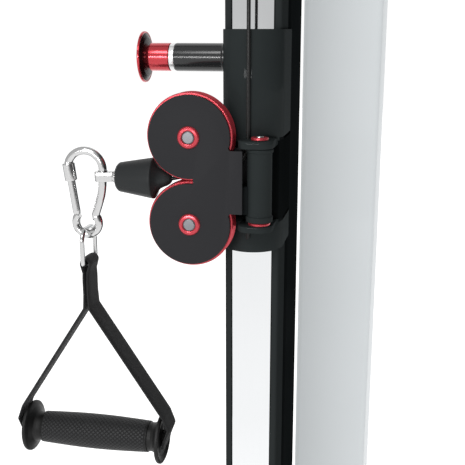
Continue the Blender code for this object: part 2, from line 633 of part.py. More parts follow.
def strap():
    """Webbing: a loop round the ring, a doubled stem, two legs, and the core through the grip."""
    y0 = SWIVEL_Y - STRAP_WIDTH / 2
    split = CARRIAGE_TOP - STRAP_SPLIT_DROP
    leg_x = GRIP_HALF + 0.0032
    left_leg = [(HOOK_X - leg_x, GRIP_Z - 0.004), (HOOK_X - leg_x - 0.0043, GRIP_Z + 0.0205)]
    right_leg = [(2 * HOOK_X - x, z) for x, z in reversed(left_leg)]
    path = left_leg + [(HOOK_X - 0.003, split), (HOOK_X + 0.003, split)] + right_leg
    legs = prism([(x, y0, z) for x, z in ribbon(path, STRAP_THICK)], (0, 0, 0), (0, STRAP_WIDTH, 0))
    half_loop = RING_WIDTH / 2 - RING_CORNER - GAP
    stem = box(HOOK_X - STRAP_THICK, HOOK_X + STRAP_THICK, SWIVEL_Y - half_loop, SWIVEL_Y + half_loop,
               split - 0.001, RING_LOW_Z - 0.001)
    outer = RING_WIRE + 0.0006 + STRAP_THICK
    bar = (HOOK_X, SWIVEL_Y, RING_LOW_Z)
    loop = cylinder(bar, (0, 1, 0), outer, -half_loop, half_loop, 14)
    eye = cylinder(bar, (0, 1, 0), RING_WIRE + 0.0006, -STRAP_WIDTH, STRAP_WIDTH, 12)
    core = cylinder((HOOK_X, SWIVEL_Y, GRIP_Z), (1, 0, 0), STRAP_CORE, -leg_x, leg_x, 12)
    return union(cut(union(stem, loop), eye), legs, core)


def grip():
    """Rubber tube, thickest in the middle, with a dished flange at each end."""
    half = GRIP_HALF
    inner = [(0.0192, 0.0), (0.0184, 0.035), (0.0172, half - 0.0170), (0.0160, half - 0.0165),
             (0.0160, half - 0.0125), (0.0175, half - 0.0085), (GRIP_FLANGE, half - 0.0045),
             (GRIP_FLANGE, half - 0.0015), (GRIP_FLANGE - 0.0015, half), (0.0180, half - 0.0012)]
    outside = [(radius, -x) for radius, x in reversed(inner)] + inner[1:]
    profile = [(GRIP_BORE, -half), *outside, (GRIP_BORE, half)]
    return turned(profile, (HOOK_X, SWIVEL_Y, GRIP_Z), (1, 0, 0), 16, closed=True)


# ---- shared top ----

def cross_beam():
    reach = STATION_X - POST_WIDTH / 2 - GAP
    y = COLUMN_FACE_Y + POST_FRONT
    beam = box(-reach, reach, y + 0.005, y + POST_DEPTH - 0.005, POST_TOP - 0.130, POST_TOP - 0.050, 0.005)
    return beam


def pull_up_bar():
    half = 0.500
    low = POST_TOP - 0.215
    top = POST_TOP - 0.130 - GAP
    radius = 0.030
    path = [(-half, top), *arc((-half + radius, low + radius), radius, 180, 270, 4),
            *arc((half - radius, low + radius), radius, 270, 360, 4), (half, top)]
    y = COLUMN_FACE_Y + POST_FRONT + POST_DEPTH / 2
    return tube([(x, y, z) for x, z in path], (0, 1, 0), 0.016, 12)


def add_station(side, tag):
    """Place every station piece on one side, each with its object origin at the given station point."""
    handle = at_drop(0, SWIVEL_Y, HANDLE_DROP)
    run_end = Vector((STACK_X, STACK_Y, 0))
    pieces = [
        ("base_foot", base_foot(), BLACK, (0, 0, 0)),
        ("main_post", main_post(), BLACK, (0, POST_FRONT, 0)),
        ("column", column(), BLACK, (0, 0, 0)),
        ("column_strip", column_strip(), CHROME, (0, 0, 0)),
        ("stack_housing", stack_housing(), WHITE, run_end),
        ("guide_frame", guide_frame(), CHROME, run_end),
        ("stack_resting", stack_resting(), STEEL, run_end),
        ("stack_lifting", stack_lifting(), STEEL, run_end),
        ("stack_pulley", pulley(STACK_PULLEY, RUN_AXIS, 12), RED, STACK_PULLEY),
        ("selector_pin", selector_pin(), RED, (STACK_X, STACK_Y, LIFT_BASE + PLATE_THICK / 2)),
        ("head_front_pulley", pulley(FRONT_PULLEY, RUN_AXIS, 14), RED, FRONT_PULLEY),
        ("head_rear_pulley", pulley(REAR_PULLEY, RUN_AXIS, 14), RED, REAR_PULLEY),
        ("carriage_sleeve", carriage_sleeve(), BLACK, (0, 0, CARRIAGE_TOP)),
        ("pull_pin", pull_pin(), RED, at_drop(0, PULL_Y, PULL_DROP)),
        ("hinge_pin", hinge_pin(), STEEL, at_drop(SWIVEL_X, SWIVEL_Y, LEDGE_TOP)),
        ("pulley_bracket", pulley_bracket(), STEEL, at_drop(SWIVEL_X, SWIVEL_Y, LEDGE_TOP)),
        ("pulley_upper", pulley(UPPER_PULLEY, (0, 1, 0), 20), RED, UPPER_PULLEY),
        ("pulley_lower", pulley(LOWER_PULLEY, (0, 1, 0), 20), RED, LOWER_PULLEY),
        ("ball_stop", ball_stop(), RUBBER, handle),
        ("cable_eye", cable_eye(), CHROME, handle),
        ("carabiner", carabiner(), CHROME, at_drop(EYE_HOLE_X, SWIVEL_Y, HANDLE_DROP)),
        ("carabiner_gate", carabiner_gate(), CHROME, GATE_PIVOT),
        ("ring", ring(), CHROME, (HOOK_X, SWIVEL_Y, RING_TOP_Z)),
        ("strap", strap(), WEBBING, (HOOK_X, SWIVEL_Y, RING_LOW_Z)),
        ("grip", grip(), RUBBER, (HOOK_X, SWIVEL_Y, GRIP_Z)),
        ("cable_upper_run", cable_upper_run(), RUBBER, (0, CABLE_Y, HEAD_Z)),
        ("cable_handle", cable_handle(), RUBBER, handle),
        ("cable_head", cable_head(), RUBBER, FRONT_PULLEY),
        ("cable_stack_run", cable_stack_run(), RUBBER, STACK_PULLEY),
    ]
    for name, bm, material, origin in pieces:
        bmesh.ops.translate(bm, verts=bm.verts, vec=-Vector(origin))
        if side < 0:
            bmesh.ops.scale(bm, vec=(-1, 1, 1), verts=bm.verts)
            bmesh.ops.reverse_faces(bm, faces=bm.faces)
        add(f"{tag}_{name}", bm, material, (side * (STATION_X + origin[0]), COLUMN_FACE_Y + origin[1], origin[2]))


for side, tag in ((1, "right"), (-1, "left")):
    add_station(side, tag)
add("cross_beam", cross_beam(), BLACK)
add("pull_up_bar", pull_up_bar(), BLACK)
print(f"{len(bpy.data.objects)} pieces")
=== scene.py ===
import math

import bmesh
import bpy
from mathutils import Matrix, Vector


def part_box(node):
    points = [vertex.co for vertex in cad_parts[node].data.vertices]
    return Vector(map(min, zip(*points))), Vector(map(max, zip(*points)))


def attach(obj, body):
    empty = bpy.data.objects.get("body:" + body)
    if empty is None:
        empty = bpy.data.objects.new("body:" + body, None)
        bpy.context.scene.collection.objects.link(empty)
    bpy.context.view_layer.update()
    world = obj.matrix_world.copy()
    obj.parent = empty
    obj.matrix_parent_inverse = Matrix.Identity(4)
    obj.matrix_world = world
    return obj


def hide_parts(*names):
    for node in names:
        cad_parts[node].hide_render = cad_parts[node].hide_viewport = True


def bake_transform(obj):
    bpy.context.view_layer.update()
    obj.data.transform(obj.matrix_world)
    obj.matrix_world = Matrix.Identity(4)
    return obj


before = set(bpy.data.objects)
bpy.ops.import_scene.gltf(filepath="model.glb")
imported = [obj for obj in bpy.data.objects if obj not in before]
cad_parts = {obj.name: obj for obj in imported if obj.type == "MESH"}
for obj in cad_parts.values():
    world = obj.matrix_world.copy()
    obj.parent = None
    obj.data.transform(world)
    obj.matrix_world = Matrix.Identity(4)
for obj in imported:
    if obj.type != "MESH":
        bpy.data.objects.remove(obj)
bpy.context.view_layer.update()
print("frame loaded")

# Where the right-hand station stands. Pieces are modelled for it and mirrored for the left one:
# x runs outward from the column's centre line, y back from the column's face, z up from the floor.
columnLow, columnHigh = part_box("right_column")
stationX = (columnLow.x + columnHigh.x) / 2
faceY = columnLow.y
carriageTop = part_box("right_carriage_sleeve")[1].z
sides = {"right": 1, "left": -1}
up = Vector((0, 0, 1))


def drop(x, y, depth):
    return Vector((x, y, carriageTop - depth))


class Wire:
    # one number on its way through a shader; arithmetic on it adds Math nodes
    def __init__(self, paint, socket):
        self.paint = paint
        self.socket = socket

    def math(self, operation, *others):
        node = self.paint.node("ShaderNodeMath", {"operation": operation}, dict(enumerate((self, *others))))
        return Wire(self.paint, node.outputs[0])

    def reflected(self, operation, other):
        node = self.paint.node("ShaderNodeMath", {"operation": operation}, {0: other, 1: self})
        return Wire(self.paint, node.outputs[0])

    def __add__(self, other):
        return self.math("ADD", other)

    def __radd__(self, other):
        return self.reflected("ADD", other)

    def __sub__(self, other):
        return self.math("SUBTRACT", other)

    def __rsub__(self, other):
        return self.reflected("SUBTRACT", other)

    def __mul__(self, other):
        return self.math("MULTIPLY", other)

    def __rmul__(self, other):
        return self.reflected("MULTIPLY", other)

    def sine(self):
        return self.math("SINE")

    def size(self):
        return self.math("ABSOLUTE")

    def between(self, low, high):
        # 0 below low, 1 above high, smooth in the middle
        node = self.paint.node("ShaderNodeMapRange", {"interpolation_type": "SMOOTHSTEP"},
                               {"Value": self, "From Min": low, "From Max": high})
        return Wire(self.paint, node.outputs[0])


class Paint:
    # one material and the ways of wiring it
    def __init__(self, name):
        self.material = bpy.data.materials.new(name)
        self.material.use_nodes = True
        self.tree = self.material.node_tree
        self.shader = self.tree.nodes["Principled BSDF"]
        self.place = self.node("ShaderNodeTexCoord", {}, {})

    def node(self, kind, settings, values):
        node = self.tree.nodes.new(kind)
        for setting, value in settings.items():
            setattr(node, setting, value)
        for key, value in values.items():
            self.feed(node.inputs[key], value)
        return node

    def feed(self, socket, value):
        if isinstance(value, Wire):
            value = value.socket
        if isinstance(value, bpy.types.NodeSocket):
            self.tree.links.new(value, socket)
        else:
            socket.default_value = value

    def give(self, **sockets):
        for name, value in sockets.items():
            self.feed(self.shader.inputs[name.replace("_", " ")], value)

    def stretched(self, scale):
        place = self.place.outputs["Object"]
        return self.node("ShaderNodeMapping", {}, {"Vector": place, "Scale": scale}).outputs[0]

    def noise(self, vector, scale, detail=3.0, rough=0.55):
        node = self.node("ShaderNodeTexNoise", {}, {"Vector": vector, "Scale": scale, "Detail": detail,
                                                    "Roughness": rough})
        return Wire(self, node.outputs[0])

    def cells(self, vector, scale):
        node = self.node("ShaderNodeTexVoronoi", {"feature": "F1"}, {"Vector": vector, "Scale": scale})
        return Wire(self, node.outputs[0])

    def axes(self, vector):
        node = self.node("ShaderNodeSeparateXYZ", {}, {"Vector": vector})
        return [Wire(self, socket) for socket in node.outputs]

    def between(self, factor, first, second):
        # a colour between two others
        node = self.node("ShaderNodeMix", {"data_type": "RGBA"}, {"Factor": factor})
        for socket, color in zip([s for s in node.inputs if s.type == "RGBA"], (first, second)):
            self.feed(socket, color if not isinstance(color, tuple) else (*color, 1))
        return [s for s in node.outputs if s.type == "RGBA"][0]

    def bump(self, height, distance):
        node = self.node("ShaderNodeBump", {}, {"Height": height, "Distance": distance, "Strength": 1.0})
        self.feed(self.shader.inputs["Normal"], node.outputs[0])


def powderCoat(name, spec):
    # paint with a fine orange peel, a little dust and slightly uneven gloss; when a recipe asks for it, the
    # paint also glows, which is painted light
    paint = Paint(name)
    spots = paint.place.outputs["Object"]
    peel = paint.noise(spots, spec["peel"], 2.0)
    cloud = paint.noise(spots, 9.0, 4.0)
    paint.give(Base_Color=paint.between(cloud.between(0.3, 0.8), spec["color"], spec["dusty"]),
               Roughness=spec["rough"] + 0.10 * (cloud - 0.5) + 0.06 * peel,
               Metallic=spec.get("metallic", 0.0), Coat_Weight=spec.get("coat", 0.0), Coat_Roughness=0.06,
               Specular_IOR_Level=spec.get("shine", 0.5),
               Emission_Color=(*spec.get("paintedLightColor", (0, 0, 0)), 1), Emission_Strength=spec.get("paintedLightStrength", 0.0))
    paint.bump(peel, spec["depth"])
    return paint.material


def brushed(name, spec):
    # metal with a fine grain drawn out along one direction, and faint handling marks
    paint = Paint(name)
    grain = paint.noise(paint.stretched(spec.get("stretch", (1.0, 1.0, 1.0))), spec["grain"], 4.0, 0.7)
    marks = paint.noise(paint.place.outputs["Object"], 22.0, 5.0)
    paint.give(Base_Color=paint.between(grain, spec["color"], spec["light"]),
               Roughness=(spec["rough"] + spec["uneven"] * (grain - 0.5)
                          + spec.get("marks", 0.08) * marks.between(0.55, 0.8)),
               Metallic=spec["metallic"], Coat_Weight=spec.get("coat", 0.0), Coat_Roughness=0.05,
               Specular_IOR_Level=spec.get("shine", 0.5))
    if spec["depth"] > 0:
        paint.bump(grain, spec["depth"])
    return paint.material


def mouldedRubber(name, spec):
    # rubber with fine pores and a soft sheen
    paint = Paint(name)
    pores = paint.cells(paint.place.outputs["Object"], 1400.0)
    cloud = paint.noise(paint.place.outputs["Object"], 30.0, 4.0)
    paint.give(Base_Color=paint.between(cloud, spec["color"], spec["worn"]),
               Roughness=spec["rough"] + 0.15 * (cloud - 0.5), Specular_IOR_Level=spec.get("shine", 0.5))
    paint.bump(pores, spec["depth"])
    return paint.material


def knurledRubber(name, spec):
    # diamonds pressed into the middle of the grip; u goes once round, v is metres along
    paint = Paint(name)
    u, v, _ = paint.axes(paint.place.outputs["UV"])
    first = (u * (math.tau * spec["round"]) + v * spec["along"]).sine()
    second = (u * (math.tau * spec["round"]) - v * spec["along"]).sine()
    diamond = (first.size() * second.size()).between(0.0, 0.55)
    inside = 1 - v.size().between(spec["end"] - 0.002, spec["end"])
    cloud = paint.noise(paint.place.outputs["Object"], 40.0, 4.0)
    # the diamonds' valleys are painted darker: painted shade in the grooves
    paint.give(Base_Color=paint.between(diamond * inside, spec["valleyShade"], spec["color"]),
               Roughness=spec["rough"] + 0.18 * (cloud - 0.5) + 0.10 * (1 - diamond) * inside,
               Specular_IOR_Level=spec.get("shine", 0.5))
    paint.bump(diamond * inside, spec["depth"])
    return paint.material


def wovenWebbing(name, spec):
    # herringbone ribs along the strap; u is metres across, v metres along
    paint = Paint(name)
    u, v, _ = paint.axes(paint.place.outputs["UV"])
    rib = (u * (math.tau / spec["rib"])).sine()
    slant = (v * (math.tau / spec["pick"]) + rib.between(-0.1, 0.1) * math.pi).sine()
    thread = 0.55 * rib.size() + 0.45 * slant.size()
    fuzz = paint.noise(paint.place.outputs["Object"], 900.0, 3.0)
    # darker between the threads: partly the weave's pattern and partly painted shade in the gaps
    paint.give(Base_Color=paint.between(thread * (0.7 + 0.3 * fuzz), spec["valleyShade"], spec["color"]),
               Roughness=0.78 + 0.15 * fuzz, Sheen_Weight=0.10, Sheen_Roughness=0.4)
    paint.bump(thread + 0.35 * fuzz, spec["depth"])
    return paint.material


recipes = {
    "blackCoat": (powderCoat, {
        "color": (0.0075, 0.0090, 0.0095), "dusty": (0.0115, 0.0130, 0.0135),
        "rough": 0.50, "peel": 900.0, "depth": 0.00005, "shine": 0.0}),
    "glossBlack": (powderCoat, {
        "color": (0.0200, 0.0240, 0.0245), "dusty": (0.0240, 0.0285, 0.0290),
        "rough": 0.26, "peel": 260.0, "depth": 0.00002, "shine": 0.0, "coat": 0.05}),
    # a darker copy of the sleeve's gloss black: painted shade for the sleeve wall inside the swivel recess
    "recessShadeBlack": (powderCoat, {
        "color": (0.0050, 0.0060, 0.0062), "dusty": (0.0065, 0.0075, 0.0080),
        "rough": 0.40, "peel": 260.0, "depth": 0.00002, "shine": 0.0}),
    "housingBlack": (powderCoat, {
        "color": (0.014, 0.015, 0.016), "dusty": (0.018, 0.019, 0.020),
        "rough": 0.16, "peel": 120.0, "depth": 0.000001, "shine": 0.5}),
    # pale shroud paint that glows evenly: painted light that brightens the panel beyond what the lamps give
    "paleCoatPaintedGlow": (powderCoat, {
        "color": (0.300, 0.315, 0.325), "dusty": (0.315, 0.330, 0.340),
        "rough": 0.45, "peel": 800.0, "depth": 0.00004, "shine": 0.25,
        "paintedLightStrength": 1.0, "paintedLightColor": (0.362, 0.380, 0.386)}),
    "plateIron": (powderCoat, {
        "color": (0.022, 0.022, 0.024), "dusty": (0.045, 0.045, 0.047),
        "rough": 0.48, "peel": 420.0, "depth": 0.00012, "shine": 0.3}),
    "satinGrey": (brushed, {
        "color": (0.0275, 0.0275, 0.0295), "light": (0.0300, 0.0300, 0.0325),
        "stretch": (1.0, 1.0, 14.0), "grain": 70.0, "rough": 0.40, "uneven": 0.10,
        "metallic": 0.0, "depth": 0.00001, "shine": 0.02}),
    "columnBlack": (brushed, {
        "color": (0.0215, 0.0250, 0.0255), "light": (0.0275, 0.0310, 0.0315),
        "stretch": (60.0, 60.0, 0.6), "grain": 40.0, "rough": 0.34,
        "uneven": 0.12, "metallic": 0.0, "depth": 0.00001, "shine": 0.0}),
    "mirrorStrip": (brushed, {
        "color": (0.80, 0.815, 0.825), "light": (0.84, 0.85, 0.86),
        "stretch": (70.0, 70.0, 0.5), "grain": 30.0, "rough": 0.045,
        "uneven": 0.03, "metallic": 1.0, "depth": 0.000002}),
    "chrome": (brushed, {
        "color": (0.64, 0.64, 0.64), "light": (0.67, 0.67, 0.67), "grain": 30.0, "rough": 0.15,
        "uneven": 0.02, "metallic": 1.0, "depth": 0.0, "marks": 0.02}),
    "knobRed": (brushed, {
        "color": (0.52, 0.040, 0.054), "light": (0.58, 0.048, 0.062), "grain": 40.0, "rough": 0.20,
        "uneven": 0.02, "metallic": 0.75, "depth": 0.0, "coat": 0.3}),
    # a near-black copy of the knob's red: painted shade on the back face of the disc
    "knobPaintedShade": (brushed, {
        "color": (0.016, 0.004, 0.005), "light": (0.022, 0.005, 0.006), "grain": 40.0, "rough": 0.25,
        "uneven": 0.04, "metallic": 0.2, "depth": 0.000002, "shine": 0.2}),
    "redMetal": (brushed, {
        "color": (0.50, 0.040, 0.058), "light": (0.56, 0.052, 0.070), "grain": 40.0, "rough": 0.24,
        "uneven": 0.02, "metallic": 0.6, "depth": 0.0, "coat": 0.2}),
    "brightRing": (brushed, {
        "color": (0.86, 0.86, 0.86), "light": (0.90, 0.90, 0.90), "grain": 40.0, "rough": 0.22,
        "uneven": 0.02, "metallic": 0.6, "depth": 0.0}),
    "boltFace": (brushed, {
        "color": (0.20, 0.20, 0.215), "light": (0.24, 0.24, 0.255),
        "stretch": (4.0, 4.0, 4.0), "grain": 50.0, "rough": 0.46,
        "uneven": 0.06, "metallic": 0.9, "depth": 0.000004}),
    "ballRubber": (mouldedRubber, {
        "color": (0.0185, 0.0205, 0.0215), "worn": (0.0240, 0.0260, 0.0270),
        "rough": 0.42, "depth": 0.00003, "shine": 0.16}),
    "cableJacket": (mouldedRubber, {
        "color": (0.012, 0.012, 0.012), "worn": (0.018, 0.018, 0.018),
        "rough": 0.30, "depth": 0.00001, "shine": 0.2}),
    # the valley colour is painted shade in the knurl's grooves
    "gripRubber": (knurledRubber, {
        "color": (0.0204, 0.0211, 0.0224), "valleyShade": (0.0060, 0.0060, 0.0060),
        "round": 13, "along": 620.0, "end": 0.0612, "rough": 0.48, "depth": 0.0006, "shine": 0.3}),
    "thread": (powderCoat, {
        "color": (0.020, 0.020, 0.021), "dusty": (0.028, 0.028, 0.029),
        "rough": 0.75, "peel": 3000.0, "depth": 0.00008, "shine": 0.2}),
    # the valley colour is painted shade between the threads
    "webbing": (wovenWebbing, {
        "color": (0.0085, 0.0090, 0.0095), "valleyShade": (0.0032, 0.0032, 0.0036),
        "rib": 0.0042, "pick": 0.0028, "depth": 0.0002}),
}
finishes = {name: recipe(name, spec) for name, (recipe, spec) in recipes.items()}
print("finishes ready")


def arc(centre, radius, start, end, steps):
    # points on an arc, angles in degrees
    turn = [math.radians(start + (end - start) * i / steps) for i in range(steps + 1)]
    return [(centre[0] + radius * math.cos(a), centre[1] + radius * math.sin(a)) for a in turn]


def softened(points, closed=True, steps=5):
    # rounds each corner that carries a radius as its third value
    result = []
    count = len(points)
    for i, point in enumerate(points):
        here = Vector(point[:2])
        radius = point[2] if len(point) > 2 else 0
        if not radius or (not closed and i in (0, count - 1)):
            result.append(tuple(here))
            continue
        before = Vector(points[i - 1][:2]) - here
        after = Vector(points[(i + 1) % count][:2]) - here
        half = before.angle(after) / 2
        reach = min(radius / math.tan(half), 0.49 * before.length, 0.49 * after.length)
        radius = reach * math.tan(half)
        centre = here + (before.normalized() + after.normalized()).normalized() * (radius / math.sin(half))
        first = here + before.normalized() * reach - centre
        last = here + after.normalized() * reach - centre
        sweep = first.angle(last)
        for k in range(steps + 1):
            t = k / steps
            spoke = (first * math.sin((1 - t) * sweep) + last * math.sin(t * sweep)) / math.sin(sweep)
            result.append(tuple(centre + spoke))
    return result


def meshFrom(bm, finish):
    bmesh.ops.recalc_face_normals(bm, faces=bm.faces)
    mesh = bpy.data.meshes.new("piece")
    bm.to_mesh(mesh)
    bm.free()
    piece = bpy.data.objects.new("piece", mesh)
    bpy.context.scene.collection.objects.link(piece)
    piece.data.materials.append(finishes[finish])
    return piece


def smooth(piece, degrees=32):
    piece.data.shade_smooth()
    piece.data.set_sharp_from_angle(angle=math.radians(degrees))


def turned(finish, profile, centre, axis, steps=64, closed=False):
    # spins a profile of (radius, distance along the axis) points; u goes round, v is metres along
    axis = Vector(axis).normalized()
    across = axis.orthogonal().normalized()
    centre = Vector(centre)
    bm = bmesh.new()
    verts = [bm.verts.new(centre + across * r + axis * t) for r, t in profile]
    edges = [bm.edges.new(pair) for pair in zip(verts, verts[1:])]
    if closed:
        edges.append(bm.edges.new((verts[-1], verts[0])))
    bmesh.ops.spin(bm, geom=verts + edges, cent=centre, axis=axis, angle=math.tau, steps=steps,
                   use_merge=True)
    bmesh.ops.remove_doubles(bm, verts=bm.verts, dist=0.000001)
    layer = bm.loops.layers.uv.new("UVMap")
    other = axis.cross(across)
    for face in bm.faces:
        middle = face.calc_center_median() - centre
        base = math.atan2(middle.dot(other), middle.dot(across))
        for loop in face.loops:
            spot = loop.vert.co - centre
            angle = math.atan2(spot.dot(other), spot.dot(across))
            angle = base + (angle - base + math.pi) % math.tau - math.pi
            loop[layer].uv = (angle / math.tau, spot.dot(axis))
    piece = meshFrom(bm, finish)
    smooth(piece)
    return piece


def pushed(finish, outline, start, end, edge=0.0004, degrees=32):
    # pushes a flat outline of 3-D points from start to end and softens the edges round both faces
    bm = bmesh.new()
    first = bm.faces.new([bm.verts.new(Vector(p) + Vector(start)) for p in outline])
    moved = bmesh.ops.extrude_face_region(bm, geom=[first], use_keep_orig=True)["geom"]
    last = [item for item in moved if isinstance(item, bmesh.types.BMFace)][0]
    bmesh.ops.translate(bm, verts=last.verts, vec=Vector(end) - Vector(start))
    if edge:
        bmesh.ops.bevel(bm, geom=[*first.edges, *last.edges], offset=edge, segments=2, profile=0.5,
                        affect="EDGES", material=-1)
    piece = meshFrom(bm, finish)
    smooth(piece, degrees)
    return piece


def block(finish, low, high, edge=0.001, segments=3):
    low = Vector(low)
    high = Vector(high)
    bm = bmesh.new()
    place = Matrix.Translation((low + high) / 2) @ Matrix.Diagonal((*(high - low), 1))
    bmesh.ops.create_cube(bm, size=1, matrix=place)
    bmesh.ops.bevel(bm, geom=bm.edges[:], offset=edge, segments=segments, profile=0.5, affect="EDGES",
                    material=-1)
    piece = meshFrom(bm, finish)
    smooth(piece)
    return piece


def drawn(finish, points, radius, closed=False, roundness=5):
    # a round wire along points
    curve = bpy.data.curves.new("wire", "CURVE")
    curve.dimensions = "3D"
    curve.bevel_depth = radius
    curve.bevel_resolution = roundness
    curve.use_fill_caps = True
    spline = curve.splines.new("POLY")
    spline.points.add(len(points) - 1)
    for spot, point in zip(spline.points, points):
        spot.co = (*point, 1)
    spline.use_cyclic_u = closed
    shape = bpy.data.objects.new("wire", curve)
    bpy.context.scene.collection.objects.link(shape)
    bpy.context.view_layer.update()
    mesh = bpy.data.meshes.new_from_object(shape.evaluated_get(bpy.context.evaluated_depsgraph_get()))
    bpy.data.objects.remove(shape)
    bpy.data.curves.remove(curve)
    mesh.materials.clear()
    mesh.materials.append(finishes[finish])
    piece = bpy.data.objects.new("piece", mesh)
    bpy.context.scene.collection.objects.link(piece)
    smooth(piece, 40)
    return piece


def carve(piece, *cutters):
    # cuts other pieces out of this one and throws them away
    for cutter in cutters:
        modifier = piece.modifiers.new("carve", "BOOLEAN")
        modifier.operation = "DIFFERENCE"
        modifier.object = cutter
    bpy.context.view_layer.update()
    mesh = bpy.data.meshes.new_from_object(piece.evaluated_get(bpy.context.evaluated_depsgraph_get()))
    piece.modifiers.clear()
    piece.data = mesh
    for cutter in cutters:
        bpy.data.objects.remove(cutter)
    smooth(piece)
    return piece


def settle(piece, side, tag, body, nodes=()):
    # moves a station piece to its side, mirrored for the left, and hands it to its body
    matrix = Matrix.Translation((sides[side] * stationX, faceY, 0)) @ Matrix.Diagonal((sides[side], 1, 1, 1))
    piece.data.transform(matrix)
    if sides[side] < 0:
        piece.data.flip_normals()
    piece.name = f"{side}_{tag}"
    piece.data.name = piece.name
    if body:
        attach(piece, body if body == "frame" else f"{side}_{body}")
    if nodes:
        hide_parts(*[f"{side}_{n}" for n in nodes])
    return piece


def curved(points, steps=6):
    # a smooth line through points
    points = [Vector(p) for p in points]
    ends = [2 * points[0] - points[1], *points, 2 * points[-1] - points[-2]]
    line = []
    for a, b, c, d in zip(ends, ends[1:], ends[2:], ends[3:]):
        for k in range(steps):
            t = k / steps
            line.append(0.5 * ((2 * b) + (c - a) * t + (2 * a - 5 * b + 4 * c - d) * t * t
                               + (3 * b - a - 3 * c + d) * t ** 3))
    line.append(points[-1])
    return line


column = {"width": 0.058, "depth": 0.050, "corner": 0.0035, "groove": 0.0219, "grooveDepth": 0.0030,
          "strip": 0.0213, "stripThick": 0.0022, "pitch": 0.080, "below": 10, "above": 7, "holeY": 0.025,
          "holeDrop": 0.0287, "hole": 0.0048, "holeDepth": 0.012, "lip": 0.0009}
shroud = {"front": 0.166, "depth": 0.330, "left": 0.0313, "right": 0.1238, "wall": 0.003, "lip": 0.030,
          "corner": 0.007}


def makeColumn(side):
    low, high = columnLow.z, columnHigh.z
    half, groove = column["width"] / 2, column["groove"]
    corner, depth, lip = column["corner"], column["grooveDepth"], column["lip"]
    outline = softened([(-groove, 0, lip), (-groove, depth, 0.0004), (groove, depth, 0.0004),
                        (groove, 0, lip),
                        (half, 0, corner), (half, column["depth"], corner), (-half, column["depth"], corner),
                        (-half, 0, corner)])
    body = pushed("columnBlack", [(x, y, 0) for x, y in outline], (0, 0, low), (0, 0, high))
    holes = []
    for step in range(-column["below"], column["above"] + 1):
        spot = drop(-half, column["holeY"], column["holeDrop"]) + up * column["pitch"] * step
        holes.append(turned("chrome", [(0, -0.01), (column["hole"], -0.01), (column["hole"],
                     column["holeDepth"]), (0, column["holeDepth"])], spot, (1, 0, 0), 24))
    settle(carve(body, *holes), side, "columnBody", "frame", nodes=["column"])
    strip = block("mirrorStrip", (-column["strip"], 0.0005, low + 0.001),
                  (column["strip"], 0.0005 + column["stripThick"], high - 0.001), 0.0007)
    settle(strip, side, "polishedStrip", "frame", nodes=["column_strip"])


def makeShroud(side):
    low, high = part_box("right_stack_housing")
    left, right = shroud["left"], shroud["right"]
    front, back = shroud["front"], shroud["front"] + shroud["depth"]
    wall, lip, corner = shroud["wall"], shroud["lip"], shroud["corner"]
    outline = softened([(left, front + lip), (left, front, corner), (right, front, corner),
                        (right, back, corner),
                        (left, back, corner), (left, back - lip), (left + wall, back - lip),
                        (left + wall, back - wall, corner - wall), (right - wall, back - wall, corner - wall),
                        (right - wall, front + wall, corner - wall),
                        (left + wall, front + wall, corner - wall), (left + wall, front + lip)], steps=8)
    # the shroud's paint glows, painted light brightening its panels
    body = pushed("paleCoatPaintedGlow", [(x, y, 0) for x, y in outline], (0, 0, low.z), (0, 0, high.z), 0.0008)
    settle(body, side, "shroudBody", "frame", nodes=["stack_housing"])


for side in sides:
    makeColumn(side)
    makeShroud(side)
print("columns and shrouds made")


sleeve = {"outer": 0.0317, "inner": 0.0294, "centreY": 0.0095, "back": 0.057, "ledgeTop": 0.106,
          "recessTop": 0.114, "recessBottom": 0.1915, "bottom": 0.2245, "wallY": -0.004, "lugRadius": 0.014,
          "lugLeft": -0.008, "lugBottom": 0.198, "edge": 0.0007}
swivel = {"x": 0.0133, "y": -0.033, "barrel": 0.0125, "collar": 0.0136, "pin": 0.006}
cable = {"radius": 0.002, "y": -0.0246}
pullPin = {"y": 0.025, "drop": 0.0287, "bore": 0.0052, "housing": 0.0145, "base": 0.0167, "ring": 0.0141,
           "ringStart": 0.0858, "ringEnd": 0.0912, "shaft": 0.004, "neck": 0.0145, "neckStart": 0.0915,
           "disc": 0.0265, "end": 0.124}


def sleeveSection(top, bottom, frontY=None):
    outer, inner, centreY = sleeve["outer"], sleeve["inner"], sleeve["centreY"]
    if frontY is None:
        front = arc((0, centreY), outer, 0, -180, 48)
    else:
        reach = math.degrees(math.asin((centreY - frontY) / outer))
        front = arc((0, centreY), outer, 0, -reach, 14) + arc((0, centreY), outer, -180 + reach, -180, 14)
    outline = [(outer, sleeve["back"]), *front, (-outer, sleeve["back"]), (-inner, sleeve["back"]),
               (-inner, -0.0006), (inner, -0.0006), (inner, sleeve["back"])]
    # the middle section, inside the recess, takes the darker black as painted shade
    return pushed("glossBlack" if frontY is None else "recessShadeBlack", [(x, y, 0) for x, y in outline],
                  (0, 0, carriageTop - bottom), (0, 0, carriageTop - top), sleeve["edge"])


def makeLug(top, bottom):
    x, y, radius = swivel["x"], swivel["y"], sleeve["lugRadius"]
    outline = [(x + radius, -0.002), *arc((x, y), radius, 0, -90, 16),
               *arc((sleeve["lugLeft"] + 0.012, y - radius + 0.012), 0.012, -90, -180, 10),
               (sleeve["lugLeft"], -0.002)]
    return pushed("glossBlack", [(a, b, 0) for a, b in outline], (0, 0, carriageTop - bottom),
                  (0, 0, carriageTop - top), 0.0010)


